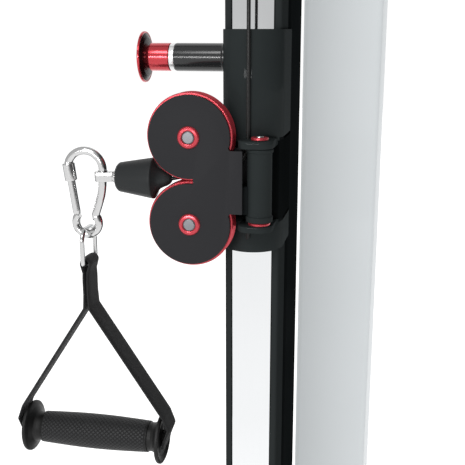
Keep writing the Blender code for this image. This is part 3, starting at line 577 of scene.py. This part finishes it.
def makeCarriage(side):
    upper = sleeveSection(0, sleeve["ledgeTop"] + 0.004)
    middle = sleeveSection(sleeve["ledgeTop"], sleeve["recessBottom"] + 0.004, sleeve["wallY"])
    lower = sleeveSection(sleeve["recessBottom"], sleeve["bottom"])
    settle(upper, side, "sleeveUpper", "carriage", nodes=["carriage_sleeve"])
    settle(middle, side, "sleeveMiddle", "carriage")
    settle(lower, side, "sleeveLower", "carriage")
    settle(makeLug(sleeve["ledgeTop"], sleeve["recessTop"]), side, "lugUpper", "carriage")
    settle(makeLug(sleeve["recessBottom"], sleeve["lugBottom"]), side, "lugLower", "carriage")
    # hinge pin with its red bushes
    x, y = swivel["x"], swivel["y"]
    ring = softened([(0.0042, 0.1056), (0.0042, 0.1030, 0.0005), (0.0088, 0.1030, 0.0012),
                     (0.0088, 0.1056)], False)
    top = turned("redMetal", ring, drop(x, y, 0), (0, 0, -1), 48, closed=True)
    settle(top, side, "bushUpper", "carriage", nodes=["hinge_pin"])
    head = softened([(0, 0.1020), (0.0040, 0.1020, 0.0008), (0.0040, 0.108)], False)
    settle(turned("chrome", head, drop(x, y, 0), (0, 0, -1), 32), side, "hingePinHead", "carriage")
    low = softened([(0.0062, 0.1886), (0.0112, 0.1886, 0.0010), (0.0112, 0.1913)], False)
    settle(turned("redMetal", low, drop(x, y, 0), (0, 0, -1), 48), side, "bushLower", "carriage")
    shaft = turned("chrome", [(0, 0.1135), (swivel["pin"], 0.1135), (swivel["pin"], 0.191), (0, 0.191)],
                   drop(x, y, 0), (0, 0, -1), 32)
    settle(shaft, side, "hingePinShaft", "carriage")
    # a short end of cable on the lower section
    line = [drop(0, cable["y"], 0.186), drop(0, cable["y"], 0.2085)]
    settle(drawn("cableJacket", line, cable["radius"]), side, "cableStub", "carriage")
    # pull pin housing
    axis = drop(0, pullPin["y"], pullPin["drop"])
    bore, base, housing, ring = pullPin["bore"], pullPin["base"], pullPin["housing"], pullPin["ring"]
    ringStart, ringEnd = pullPin["ringStart"], pullPin["ringEnd"]
    profile = softened([(bore, 0.0305), (base, 0.0305), (base, 0.0338, 0.001), (housing, 0.0350, 0.001),
                        (housing, ringStart, 0.0012), (bore, ringStart)], False)
    settle(turned("housingBlack", profile, axis, (-1, 0, 0)), side, "pinHousing", "carriage")
    profile = softened([(bore, ringStart), (ring, ringStart, 0.0006), (ring, ringEnd, 0.0006),
                        (bore, ringEnd)],
                       False)
    settle(turned("brightRing", profile, axis, (-1, 0, 0)), side, "pinCollar", "carriage")


def makePullPin(side):
    axis = drop(0, pullPin["y"], pullPin["drop"])
    shaft, neck, disc, end = pullPin["shaft"], pullPin["neck"], pullPin["disc"], pullPin["end"]
    start = pullPin["neckStart"]
    profile = softened([(0, 0.0296), (shaft, 0.0296, 0.001), (shaft, start), (neck, start, 0.0006),
                        (neck, 0.1130, 0.0008), (0.0125, 0.1136, 0.0006), (0.0118, 0.1160, 0.001)], False)
    settle(turned("knobRed", profile, axis, (-1, 0, 0), 80), side, "pullKnob", "pull_pin",
           nodes=["pull_pin"])
    # the disc's back face, towards the sleeve, is the red knob painted in shade
    back = softened([(0.0110, 0.1158), (0.0200, 0.1166, 0.004), (disc - 0.0016, 0.1190, 0.001)], False)
    settle(turned("knobPaintedShade", back, axis, (-1, 0, 0), 80), side, "pullDiscBack", "pull_pin")
    rim = softened([(disc - 0.0018, 0.1189), (disc - 0.0005, 0.1186, 0.0004), (disc, 0.1196, 0.0005),
                    (disc, 0.1212, 0.0008), (disc - 0.002, 0.1220, 0.001), (0.0200, 0.1225, 0.001),
                    (0.0120, 0.1236, 0.002), (0, end)], False)
    settle(turned("knobRed", rim, axis, (-1, 0, 0), 80), side, "pullDisc", "pull_pin")


for side in sides:
    makeCarriage(side)
    makePullPin(side)
print("carriages made")


bracket = {"pulleyX": -0.056, "upper": 0.1037, "lower": 0.1918, "lobe": 0.0416, "half": 0.013, "plate": 0.003,
           "tabX": -0.002, "tabTop": 0.116, "notch": 0.004, "edge": 0.0004}
sheave = {"radius": 0.044, "groove": 0.038, "half": 0.009, "hub": 0.011, "web": 0.0055}


def plateOutline():
    middle = (bracket["upper"] + bracket["lower"]) / 2
    x, radius, rise = bracket["pulleyX"], bracket["lobe"], bracket["tabTop"] - bracket["upper"]
    meet = x + math.sqrt(radius ** 2 - rise ** 2)
    start = math.degrees(math.asin(rise / radius))
    stop = -270 - math.degrees(math.asin(bracket["notch"] / radius))
    upper = [(a, b, 0) for a, b in arc((x, bracket["upper"]), radius, start, stop, 84)]
    lower = [(a, 2 * middle - b, 0) for a, b, _ in reversed(upper)]
    top, bottom = bracket["tabTop"], 2 * middle - bracket["tabTop"]
    corners = softened([(meet, top - 0.004), (meet + 0.0008, top, 0.003), (bracket["tabX"], top, 0.001),
                        (bracket["tabX"], bottom, 0.001), (meet + 0.0008, bottom, 0.003),
                        (meet, bottom + 0.004)], False)
    upper[0] = (meet, top - 0.004, 0)
    return [(a, b) for a, b, _ in upper] + [(a, b) for a, b, _ in lower][:-1] + corners[::-1]


def makeBracket(side):
    outline = [drop(a, 0, b) for a, b in plateOutline()]
    y = swivel["y"]
    for name, start in (("plateFront", y - bracket["half"]),
                        ("plateBack", y + bracket["half"] - bracket["plate"])):
        plate = pushed("satinGrey", outline, (0, start, 0), (0, start + bracket["plate"], 0), bracket["edge"])
        settle(plate, side, name, "bracket", nodes=["pulley_bracket"] if name == "plateFront" else ())
    inner = bracket["half"] - 0.0015
    core = block("blackCoat", drop(-0.010, y - inner + 0.004, 0.181), drop(0.004, y + inner, 0.152), 0.0015)
    settle(core, side, "bracketCore", "bracket")
    barrel, collar, pin = swivel["barrel"], swivel["collar"], swivel["pin"] + 0.0003
    profile = softened([(pin, 0.1145), (collar, 0.1145, 0.0006), (collar, 0.1176, 0.0006),
                        (barrel, 0.1182, 0.0004),
                        (barrel, 0.1818, 0.0004), (collar, 0.1824, 0.0006), (collar, 0.1880, 0.0008),
                        (pin, 0.1880)], False)
    settle(turned("glossBlack", profile, drop(swivel["x"], y, 0), (0, 0, -1)), side, "barrel", "bracket")
    for name, depth in (("upper", bracket["upper"]), ("lower", bracket["lower"])):
        centre = drop(bracket["pulleyX"], y, depth)
        face = -bracket["half"]
        ring = softened([(0.0066, face + 0.0005), (0.0066, face - 0.0022, 0.0004),
                         (0.0078, face - 0.0028, 0.0006),
                         (0.0100, face - 0.0024, 0.0010), (0.0112, face - 0.0008, 0.0006),
                         (0.0112, face + 0.0005)],
                        False)
        settle(turned("redMetal", ring, centre, (0, 1, 0), 64), side, f"boltRing_{name}", "bracket")
        bolt = softened([(0, face - 0.0026), (0.0052, face - 0.0026, 0.0005), (0.0064, face - 0.0018, 0.0006),
                         (0.0064, face + 0.0006)], False)
        settle(turned("boltFace", bolt, centre, (0, 1, 0), 48), side, f"bolt_{name}", "bracket")
        axle = turned("chrome", [(0, face), (0.005, face), (0.005, -face), (0, -face)], centre, (0, 1, 0), 32)
        settle(axle, side, f"axle_{name}", "bracket")
        nut = softened([(0, -face + 0.0020), (0.0062, -face + 0.0020, 0.0006), (0.0070, -face - 0.0004)],
                       False)
        settle(turned("chrome", nut, centre, (0, 1, 0), 6), side, f"nut_{name}", "bracket")


def makeSheave(name, side, centre, axis, body, node):
    # flanged wheel with a round-bottomed groove, a thinned web and a hub
    radius, groove, half = sheave["radius"], sheave["groove"], sheave["half"]
    hub, web = sheave["hub"], sheave["web"]
    face = softened([(0.0054, half), (hub, half, 0.0006), (hub + 0.001, web, 0.001),
                     (radius - 0.0085, web, 0.002),
                     (radius - 0.0060, half - 0.0004, 0.0012), (radius - 0.0008, half - 0.0002, 0.0006),
                     (radius, half - 0.0016, 0.0006)], False)
    trough = arc((groove + 0.0030, 0), 0.0030, 125, 235, 8)
    profile = face + trough + [(r, -t) for r, t in reversed(face)]
    piece = turned("redMetal", profile, centre, axis, 96, closed=True)
    return settle(piece, side, name, body, nodes=[node])


def centreOf(node):
    low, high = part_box(node)
    middle = (low + high) / 2
    return Vector((middle.x - stationX, middle.y - faceY, middle.z))


def makeSheaves(side):
    runAxis = headFrame["axis"]
    makeSheave("sheaveUpper", side, centreOf("right_pulley_upper"), (0, 1, 0), "upper_pulley", "pulley_upper")
    makeSheave("sheaveLower", side, centreOf("right_pulley_lower"), (0, 1, 0), "lower_pulley", "pulley_lower")
    for tag, body in (("head_front_pulley", "head_front"), ("head_rear_pulley", "head_rear"),
                      ("stack_pulley", "stack_pulley")):
        makeSheave("sheave_" + body, side, centreOf("right_" + tag), runAxis, body, tag)


frontSheave = centreOf("right_head_front_pulley")
rearSheave = centreOf("right_head_rear_pulley")
runDir = (rearSheave - frontSheave).normalized()
headFrame = {"axis": Vector((runDir.y, -runDir.x, 0)), "wrap": 0.0408}
for side in sides:
    makeBracket(side)
    makeSheaves(side)
print("brackets and sheaves made")


handle = {"drop": 0.14775, "tip": 0.0768, "front": 0.0948, "frontRadius": 0.0212, "end": 0.1345,
          "endRadius": 0.0140, "eye": 0.1509, "eyeHole": 0.0053, "eyeRadius": 0.0090, "eyeHeight": 0.0105}
hook = {"x": -0.170, "wire": 0.0045, "topRadius": 0.0191, "lowRadius": 0.0126, "topDrop": 0.1408,
        "lowDrop": 0.1979, "gateTop": (-0.1885, 0.1340), "gateLow": (-0.1815, 0.1865)}
ringShape = {"wire": 0.0025, "width": 0.0365, "height": 0.037, "corner": 0.0045, "shoulder": 0.0125,
             "top": 0.2032}
strapShape = {"width": 0.030, "thick": 0.0035, "split": 0.290, "core": 0.008}
gripShape = {"drop": 0.440, "half": 0.079, "flange": 0.0282, "bore": 0.0088}


def makeBall(side):
    tip, front, end, wide = handle["tip"], handle["front"], handle["end"], handle["frontRadius"]
    nose = curved([(0.0032, tip + 0.0004, 0), (0.0052, 0.0786, 0), (0.0075, 0.0822, 0), (0.0091, 0.0862, 0),
                   (0.0118, 0.0903, 0), (0.0172, 0.0935, 0), (wide - 0.0014, front - 0.0004, 0)], 4)
    body = softened([(0, tip), (0.0022, tip, 0.0006), *[(p.x, p.y) for p in nose],
                     (wide, front + 0.0006, 0.0008), (wide - 0.0003, front + 0.0030, 0.0014),
                     (handle["endRadius"] + 0.0012, end - 0.0026, 0.002),
                     (handle["endRadius"] - 0.0012, end, 0.0016), (0, end)], False)
    centre = drop(0, swivel["y"], handle["drop"])
    settle(turned("ballRubber", body, centre, (-1, 0, 0), 80), side, "ballStop", "cable_end",
           nodes=["ball_stop"])
    cup = softened([(0, end - 0.0002), (0.0070, end - 0.0002, 0.0006), (0.0070, end + 0.0022, 0.0010),
                    (0.0058, end + 0.0056, 0.001), (0, end + 0.0058)], False)
    settle(turned("chrome", cup, centre, (-1, 0, 0), 48), side, "eyeCup", "cable_end",
           nodes=["cable_eye"])
    x, y, radius = -handle["eye"], swivel["y"], handle["eyeRadius"]
    outline = [(-end - 0.0050, y - 0.0052), (-end - 0.0050, y + 0.0052), (-end - 0.0085, y + 0.0056),
               *arc((x, y), radius, 118, 242, 26), (-end - 0.0085, y - 0.0056)]
    low = carriageTop - handle["drop"] - handle["eyeHeight"] / 2
    tongue = pushed("chrome", [(a, b, 0) for a, b in outline], (0, 0, low),
                    (0, 0, low + handle["eyeHeight"]), 0.0012)
    hole = turned("chrome", [(0, -0.02), (handle["eyeHole"], -0.02), (handle["eyeHole"], 0.02), (0, 0.02)],
                  (x, y, low + handle["eyeHeight"] / 2), (0, 0, 1), 40)
    settle(carve(tongue, hole), side, "eyeTongue", "cable_end")


def makeHook(side):
    x, y = hook["x"], swivel["y"]
    top = arc((x, -hook["topDrop"]), hook["topRadius"], 160, -6, 40)
    low = arc((x, -hook["lowDrop"]), hook["lowRadius"], 42, -222, 56)
    leg = [(x + hook["topRadius"] - 0.0006, -0.1535), (x + hook["topRadius"] - 0.0026, -0.1680)]
    line = curved([(*top[0], 0), *[(*p, 0) for p in top[2:-1:2]], (*top[-1], 0), *[(*p, 0) for p in leg],
                   *[(*p, 0) for p in low[::2]]], 3)
    wire = drawn("chrome", [(p.x, y, carriageTop + p.y) for p in line], hook["wire"], roundness=8)
    settle(wire, side, "carabinerHook", "hook", nodes=["carabiner"])
    start = drop(hook["gateLow"][0], y, hook["gateLow"][1])
    gateAxis = drop(hook["gateTop"][0], y, hook["gateTop"][1]) - start
    length = gateAxis.length
    profile = softened([(0, -0.0030), (0.0038, -0.0030, 0.001), (0.0043, 0.0010, 0.002),
                        (0.0043, length - 0.0198), (0.0062, length - 0.0197, 0.0006),
                        (0.0068, length - 0.0186, 0.0006),
                        (0.0068, length - 0.0022, 0.0006), (0.0062, length - 0.0010, 0.0006),
                        (0.0042, length - 0.0008), (0.0040, length + 0.0010, 0.0006), (0, length + 0.0010)],
                       False, 3)
    settle(turned("chrome", profile, start, gateAxis, 48), side, "carabinerGate", "gate",
           nodes=["carabiner_gate"])
    pivot = turned("chrome", softened([(0, -0.0041), (0.0014, -0.0041, 0.0004), (0.0016, -0.0032),
                                       (0.0016, 0.0032), (0.0014, 0.0041, 0.0004), (0, 0.0041)], False),
                   start + gateAxis * 0.05, (0, 1, 0), 24)
    settle(pivot, side, "gateRivet", "gate")


def makeRing(side):
    corner, shoulder = ringShape["corner"], ringShape["shoulder"]
    half, narrow = ringShape["width"] / 2 - corner, ringShape["width"] / 2 - shoulder
    high = carriageTop - ringShape["top"] - shoulder
    low = carriageTop - ringShape["top"] - ringShape["height"] + corner
    path = []
    for centre, radius, start in (((narrow, high), shoulder, 0), ((-narrow, high), shoulder, 90),
                                  ((-half, low), corner, 180), ((half, low), corner, 270)):
        path += arc(centre, radius, start, start + 90, 10)
    points = [(hook["x"], swivel["y"] + a, b) for a, b in path]
    settle(drawn("chrome", points, ringShape["wire"], closed=True, roundness=7), side, "rectangularRing",
           "ring", nodes=["ring"])


def ribbon(path, thick, acrossY, rows=12):
    # a strip of webbing with rounded edges along a path of (x, z, width) points, centred on y
    bm = bmesh.new()
    layer = bm.loops.layers.uv.new("UVMap")
    rings = []
    travelled = [0.0]
    for before, after in zip(path, path[1:]):
        travelled.append(travelled[-1] + math.dist(before[:2], after[:2]))
    for i, point in enumerate(path):
        before, after = path[max(i - 1, 0)], path[min(i + 1, len(path) - 1)]
        heading = Vector((after[0] - before[0], after[1] - before[1])).normalized()
        normal = Vector((-heading.y, heading.x))
        ring = []
        for face, order in ((1, range(rows + 1)), (-1, range(rows, -1, -1))):
            for k in order:
                u = -1 + 2 * k / rows
                soft = face * thick / 2 * (1 - 0.55 * abs(u) ** 8)
                across = u * point[2] / 2
                ring.append((point[0] + normal.x * soft, acrossY + across, point[1] + normal.y * soft,
                             across))
        rings.append([(bm.verts.new(p[:3]), p[3]) for p in ring])
    for i in range(len(rings) - 1):
        first, second = rings[i], rings[i + 1]
        for k in range(len(first)):
            m = (k + 1) % len(first)
            face = bm.faces.new((first[k][0], first[m][0], second[m][0], second[k][0]))
            low, high = travelled[i], travelled[i + 1]
            places = (first[k][1], low), (first[m][1], low), (second[m][1], high), (second[k][1], high)
            for loop, place in zip(face.loops, places):
                loop[layer].uv = place
    for end, distance in ((rings[0], travelled[0]), (rings[-1], travelled[-1])):
        face = bm.faces.new([vert for vert, _ in end])
        for loop, (_, u) in zip(face.loops, end):
            loop[layer].uv = (u, distance)
    piece = meshFrom(bm, "webbing")
    smooth(piece, 50)
    return piece


def makeStrap(side):
    x, y = hook["x"], swivel["y"]
    barZ = carriageTop - ringShape["top"] - ringShape["height"]
    thick = strapShape["thick"]
    split = carriageTop - strapShape["split"]
    gripZ = carriageTop - gripShape["drop"]
    legX = gripShape["half"] + 0.0032
    narrow = ringShape["width"] - 2 * ringShape["corner"] - 0.0008
    wrap = ringShape["wire"] + 0.0006 + thick / 2
    # over the bar and down both sides to the stitched split, out past the grip and in to its bore
    loop = [(x + wrap * math.cos(a), barZ + wrap * math.sin(a)) for a in
            [math.radians(d) for d in range(200, -21, -10)]]
    leg, stem = x - legX, x - thick / 2
    corners = [(leg + 0.0022, gripZ - 0.0060), (leg + 0.0002, gripZ + 0.0015),
               (leg - 0.0048, gripZ + 0.0145, 0.0022),
               (leg + 0.0006, gripZ + 0.0292, 0.012), (stem - 0.0012, split, 0.006),
               (stem - 0.0002, split + 0.016), (stem - 0.0004, barZ - 0.010)]
    left = [Vector((*p, 0)) for p in softened(corners, False, 8)]
    left = [first.lerp(second, k / 6) for first, second in zip(left, left[1:]) for k in range(6)] + left[-1:]
    right = [Vector((2 * x - p.x, p.y, 0)) for p in reversed(left)]
    line = [(p.x, p.y) for p in left] + loop + [(p.x, p.y) for p in right]
    taper = []
    for a, b in line:
        t = min(max((b - barZ + 0.020) / 0.015, 0), 1)
        wide = strapShape["width"] + (narrow - strapShape["width"]) * t * t * (3 - 2 * t)
        taper.append((a, b, wide))
    settle(ribbon(taper, thick, y), side, "strapBand", "strap", nodes=["strap"])
    # one row of stitches where the two halves part, almost flush
    for face in (-1, 1):
        points = [(x + face * (thick - 0.0002), y + t * 0.0125, split + 0.0060 + 0.0006 * (-1) ** n)
                  for n, t in enumerate([-1 + 2 * m / 15 for m in range(16)])]
        settle(drawn("thread", points, 0.00035, roundness=2), side, f"stitch_0_{'ab'[face > 0]}",
               "strap")
    core = turned("webbing", softened([(0, -legX), (strapShape["core"], -legX, 0.001),
                                       (strapShape["core"], legX, 0.001), (0, legX)], False),
                  (x, y, gripZ), (1, 0, 0), 40)
    settle(core, side, "strapCore", "strap")


def makeGrip(side):
    half, flange, bore = gripShape["half"], gripShape["flange"], gripShape["bore"]
    body = curved([(0.0192, 0, 0), (0.0190, 0.018, 0), (0.0184, 0.036, 0), (0.0177, 0.052, 0),
                   (0.0172, half - 0.0174, 0)], 4)
    outer = softened([*[(p.x, p.y) for p in body], (0.0170, half - 0.0168, 0.0003),
                      (0.0159, half - 0.0166, 0.0003),
                      (0.0158, half - 0.0125, 0.001), (0.0172, half - 0.0088, 0.003),
                      (0.0230, half - 0.0058, 0.003),
                      (flange - 0.001, half - 0.0046, 0.001), (flange, half - 0.0036, 0.0008),
                      (flange, half - 0.0012, 0.001), (flange - 0.0018, half - 0.0001, 0.001),
                      (0.0190, half - 0.0018, 0.002), (bore + 0.003, half - 0.0010, 0.001),
                      (bore, half - 0.0020)], False)
    profile = [(r, -t) for r, t in reversed(outer)] + outer[1:]
    piece = turned("gripRubber", profile, (hook["x"], swivel["y"], carriageTop - gripShape["drop"]),
                   (1, 0, 0), 96, closed=True)
    settle(piece, side, "gripTube", "grip", nodes=["grip"])


for side in sides:
    makeBall(side)
    makeHook(side)
    makeRing(side)
    makeStrap(side)
    makeGrip(side)
print("handles made")


def atSide(side, point):
    return (sides[side] * (stationX + point[0]), faceY + point[1], point[2])


def along(distance, height):
    # a place along the head's pulley line
    return Vector((0, cable["y"], 0)) + runDir * distance + up * height


def makeCables(side):
    headZ = frontSheave.z
    wrap = headFrame["wrap"]
    ledge = carriageTop - sleeve["recessTop"]
    length = (rearSheave - Vector((0, cable["y"], headZ))).dot(runDir) + 2 * wrap
    start, end = ledge + 0.001, headZ - 0.0003
    points = [(0, cable["y"], start + (end - start) * k / 90) for k in range(91)]
    upper = settle(drawn("cableJacket", points, cable["radius"]), side, "cableUpperRun", None,
                   nodes=["cable_upper_run"])
    atSide(side, (0, cable["y"], end))
    atSide(side, (0, cable["y"], start + 0.01))
    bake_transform(upper)
    front = arc((wrap, headZ), wrap, 180, 90, 32)
    rear = arc((length - 2 * wrap, headZ), wrap, 90, 0, 32)
    settle(drawn("cableJacket", [along(*p) for p in front + rear], cable["radius"]), side, "cableHead",
           "frame", nodes=["cable_head"])
    low = centreOf("right_stack_pulley").z
    falls = [(length - wrap, headZ - 0.0003 + (low - headZ) * k / 60) for k in range(60)]
    bend = arc((length, low), wrap, 180, 360, 48)
    rise = [(length + wrap, low + (headZ - 0.0103 - low) * k / 60) for k in range(1, 61)]
    fall = settle(drawn("cableJacket", [along(*p) for p in falls + bend + rise], cable["radius"]), side,
                  "cableStackRun", None, nodes=["cable_stack_run"])
    atSide(side, along(length, headZ))
    atSide(side, along(length, low + 0.05))
    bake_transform(fall)
    route = [(0.0, cable["y"], 0.116), (-0.002, -0.0255, 0.121), (-0.008, -0.0285, 0.130),
             (-0.018, -0.0318, 0.1385),
             (-0.030, swivel["y"], 0.1428), (-0.044, swivel["y"], 0.1447), (-0.056, swivel["y"], 0.1450),
             (-0.067, swivel["y"], 0.1457), (-handle["tip"] - 0.0003, swivel["y"], handle["drop"])]
    line = curved([drop(*p) for p in route], 12)
    short = settle(drawn("cableJacket", line, cable["radius"]), side, "cableHandle", None,
                   nodes=["cable_handle"])
    atSide(side, drop(-0.056, swivel["y"], handle["drop"]))
    atSide(side, drop(-handle["tip"], swivel["y"], handle["drop"]))
    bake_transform(short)


for side in sides:
    makeCables(side)
print("cables made")


footBolt = {"inset": 0.06, "radius": 0.0115, "bottom": 0.0552, "top": 0.0600}
axleCap = {"radius": 0.0095, "bottom": 0.0162, "top": 0.0215}
nodeFinish = {"base_foot": "blackCoat", "main_post": "blackCoat", "guide_frame": "chrome",
              "stack_resting": "plateIron", "stack_lifting": "plateIron", "selector_pin": "redMetal"}


def refinish(node, finish):
    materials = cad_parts[node].data.materials
    materials.clear()
    materials.append(finishes[finish])


def makeFrameDetails(side):
    for node, finish in nodeFinish.items():
        refinish(f"{side}_{node}", finish)
    # a bolt near each end of the foot
    low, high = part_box("right_base_foot")
    radius, bottom, top = footBolt["radius"], footBolt["bottom"], footBolt["top"]
    for k, y in enumerate((low.y + footBolt["inset"], high.y - footBolt["inset"])):
        hexagon = softened([(0, bottom), (radius, bottom), (radius, top, 0.001), (0, top + 0.0006)], False)
        piece = turned("chrome", hexagon, ((low.x + high.x) / 2 - stationX, y - faceY, 0), (0, 0, 1), 6)
        settle(piece, side, f"footBolt_{k}", "frame")
    # caps on the ends of the head's axles
    radius, bottom, top = axleCap["radius"], axleCap["bottom"], axleCap["top"]
    for name, centre in (("front", frontSheave), ("rear", rearSheave)):
        cap = softened([(0, bottom), (radius, bottom), (radius, top - 0.0020, 0.001),
                        (radius - 0.0035, top, 0.001), (0, top)], False)
        for face in (-1, 1):
            piece = turned("chrome", cap, centre, headFrame["axis"] * face, 32)
            settle(piece, side, f"axleCap_{name}_{'ab'[face > 0]}", "frame")


for side in sides:
    makeFrameDetails(side)
for node in ("cross_beam", "pull_up_bar"):
    refinish(node, "blackCoat")
print("frame details made")


def lamp(name, place, target, size, power):
    light = bpy.data.lights.new(name, "AREA")
    light.shape = "RECTANGLE"
    light.size, light.size_y = size
    light.energy = power
    thing = bpy.data.objects.new(name, light)
    thing.location = place
    thing.rotation_euler = (Vector(target) - Vector(place)).to_track_quat("-Z", "Y").to_euler()
    bpy.context.scene.collection.objects.link(thing)


# the floor glows instead of being lit: white from behind the machine onwards, painted dimmer towards the
# front
floorPaint = Paint("floorPaint")
far = floorPaint.axes(floorPaint.place.outputs["Object"])[1].between(0.2, 1.3)
floorPaint.give(Base_Color=(0.5, 0.5, 0.5, 1), Roughness=0.9, Specular_IOR_Level=0.0, Emission_Strength=1.0,
                Emission_Color=floorPaint.between(far, (0.74, 0.74, 0.74), (1.0, 1.0, 1.0)))
bm = bmesh.new()
bmesh.ops.create_grid(bm, x_segments=1, y_segments=1, size=14)
floorMesh = bpy.data.meshes.new("floor")
bm.to_mesh(floorMesh)
bm.free()
floor = bpy.data.objects.new("floor", floorMesh)
floorMesh.materials.append(floorPaint.material)
bpy.context.scene.collection.objects.link(floor)

# the studio is white behind the machine and greyer in front of it and on its right
studio = {"front": 0.62, "back": 1.03, "right": 0.14}
world = bpy.data.worlds.new("studio")
world.use_nodes = True
sky = world.node_tree


def fade(direction, start, stop, low, high):
    node = sky.nodes.new("ShaderNodeMapRange")
    node.interpolation_type = "SMOOTHSTEP"
    for name, value in (("From Min", start), ("From Max", stop), ("To Min", low), ("To Max", high)):
        node.inputs[name].default_value = value
    sky.links.new(direction, node.inputs["Value"])
    return node.outputs[0]


place = sky.nodes.new("ShaderNodeTexCoord")
split = sky.nodes.new("ShaderNodeSeparateXYZ")
product = sky.nodes.new("ShaderNodeMath")
product.operation = "MULTIPLY"
sky.links.new(place.outputs["Object"], split.inputs[0])
sky.links.new(fade(split.outputs["Y"], 0.1, 0.7, studio["front"], studio["back"]), product.inputs[0])
sky.links.new(fade(split.outputs["X"], 0.20, 0.75, 1.0, studio["right"]), product.inputs[1])
sky.links.new(product.outputs[0], sky.nodes["Background"].inputs["Strength"])
sky.nodes["Background"].inputs["Color"].default_value = (1, 1, 1, 1)
bpy.context.scene.world = world

aim = (stationX, faceY, carriageTop)
lamp("key", (stationX - 0.5, faceY - 2.0, carriageTop + 1.7), aim, (1.2, 0.8), 22)
lamp("strip", (stationX - 0.42, faceY - 1.7, carriageTop + 0.02),
     (stationX - 0.06, faceY, carriageTop - 0.03), (0.9, 0.12), 9.0)
bpy.context.scene.view_settings.view_transform = "Standard"

view = {"lens": 62.3, "turn": 11.3, "tilt": 14.2, "aside": 0.1416, "away": 0.8126}
camera = bpy.data.cameras.new("camera")
camera.lens = view["lens"]
camera.sensor_width = 36
camera.clip_start = 0.05
eye = bpy.data.objects.new("camera", camera)
turn, tilt = math.radians(view["turn"]), math.radians(view["tilt"])
forward = Vector((-math.sin(turn) * math.cos(tilt), math.cos(turn) * math.cos(tilt), -math.sin(tilt)))
eye.location = (stationX + view["aside"], faceY - view["away"], carriageTop)
eye.rotation_euler = forward.to_track_quat("-Z", "Y").to_euler()
bpy.context.scene.collection.objects.link(eye)
bpy.context.scene.camera = eye

print("studio ready")
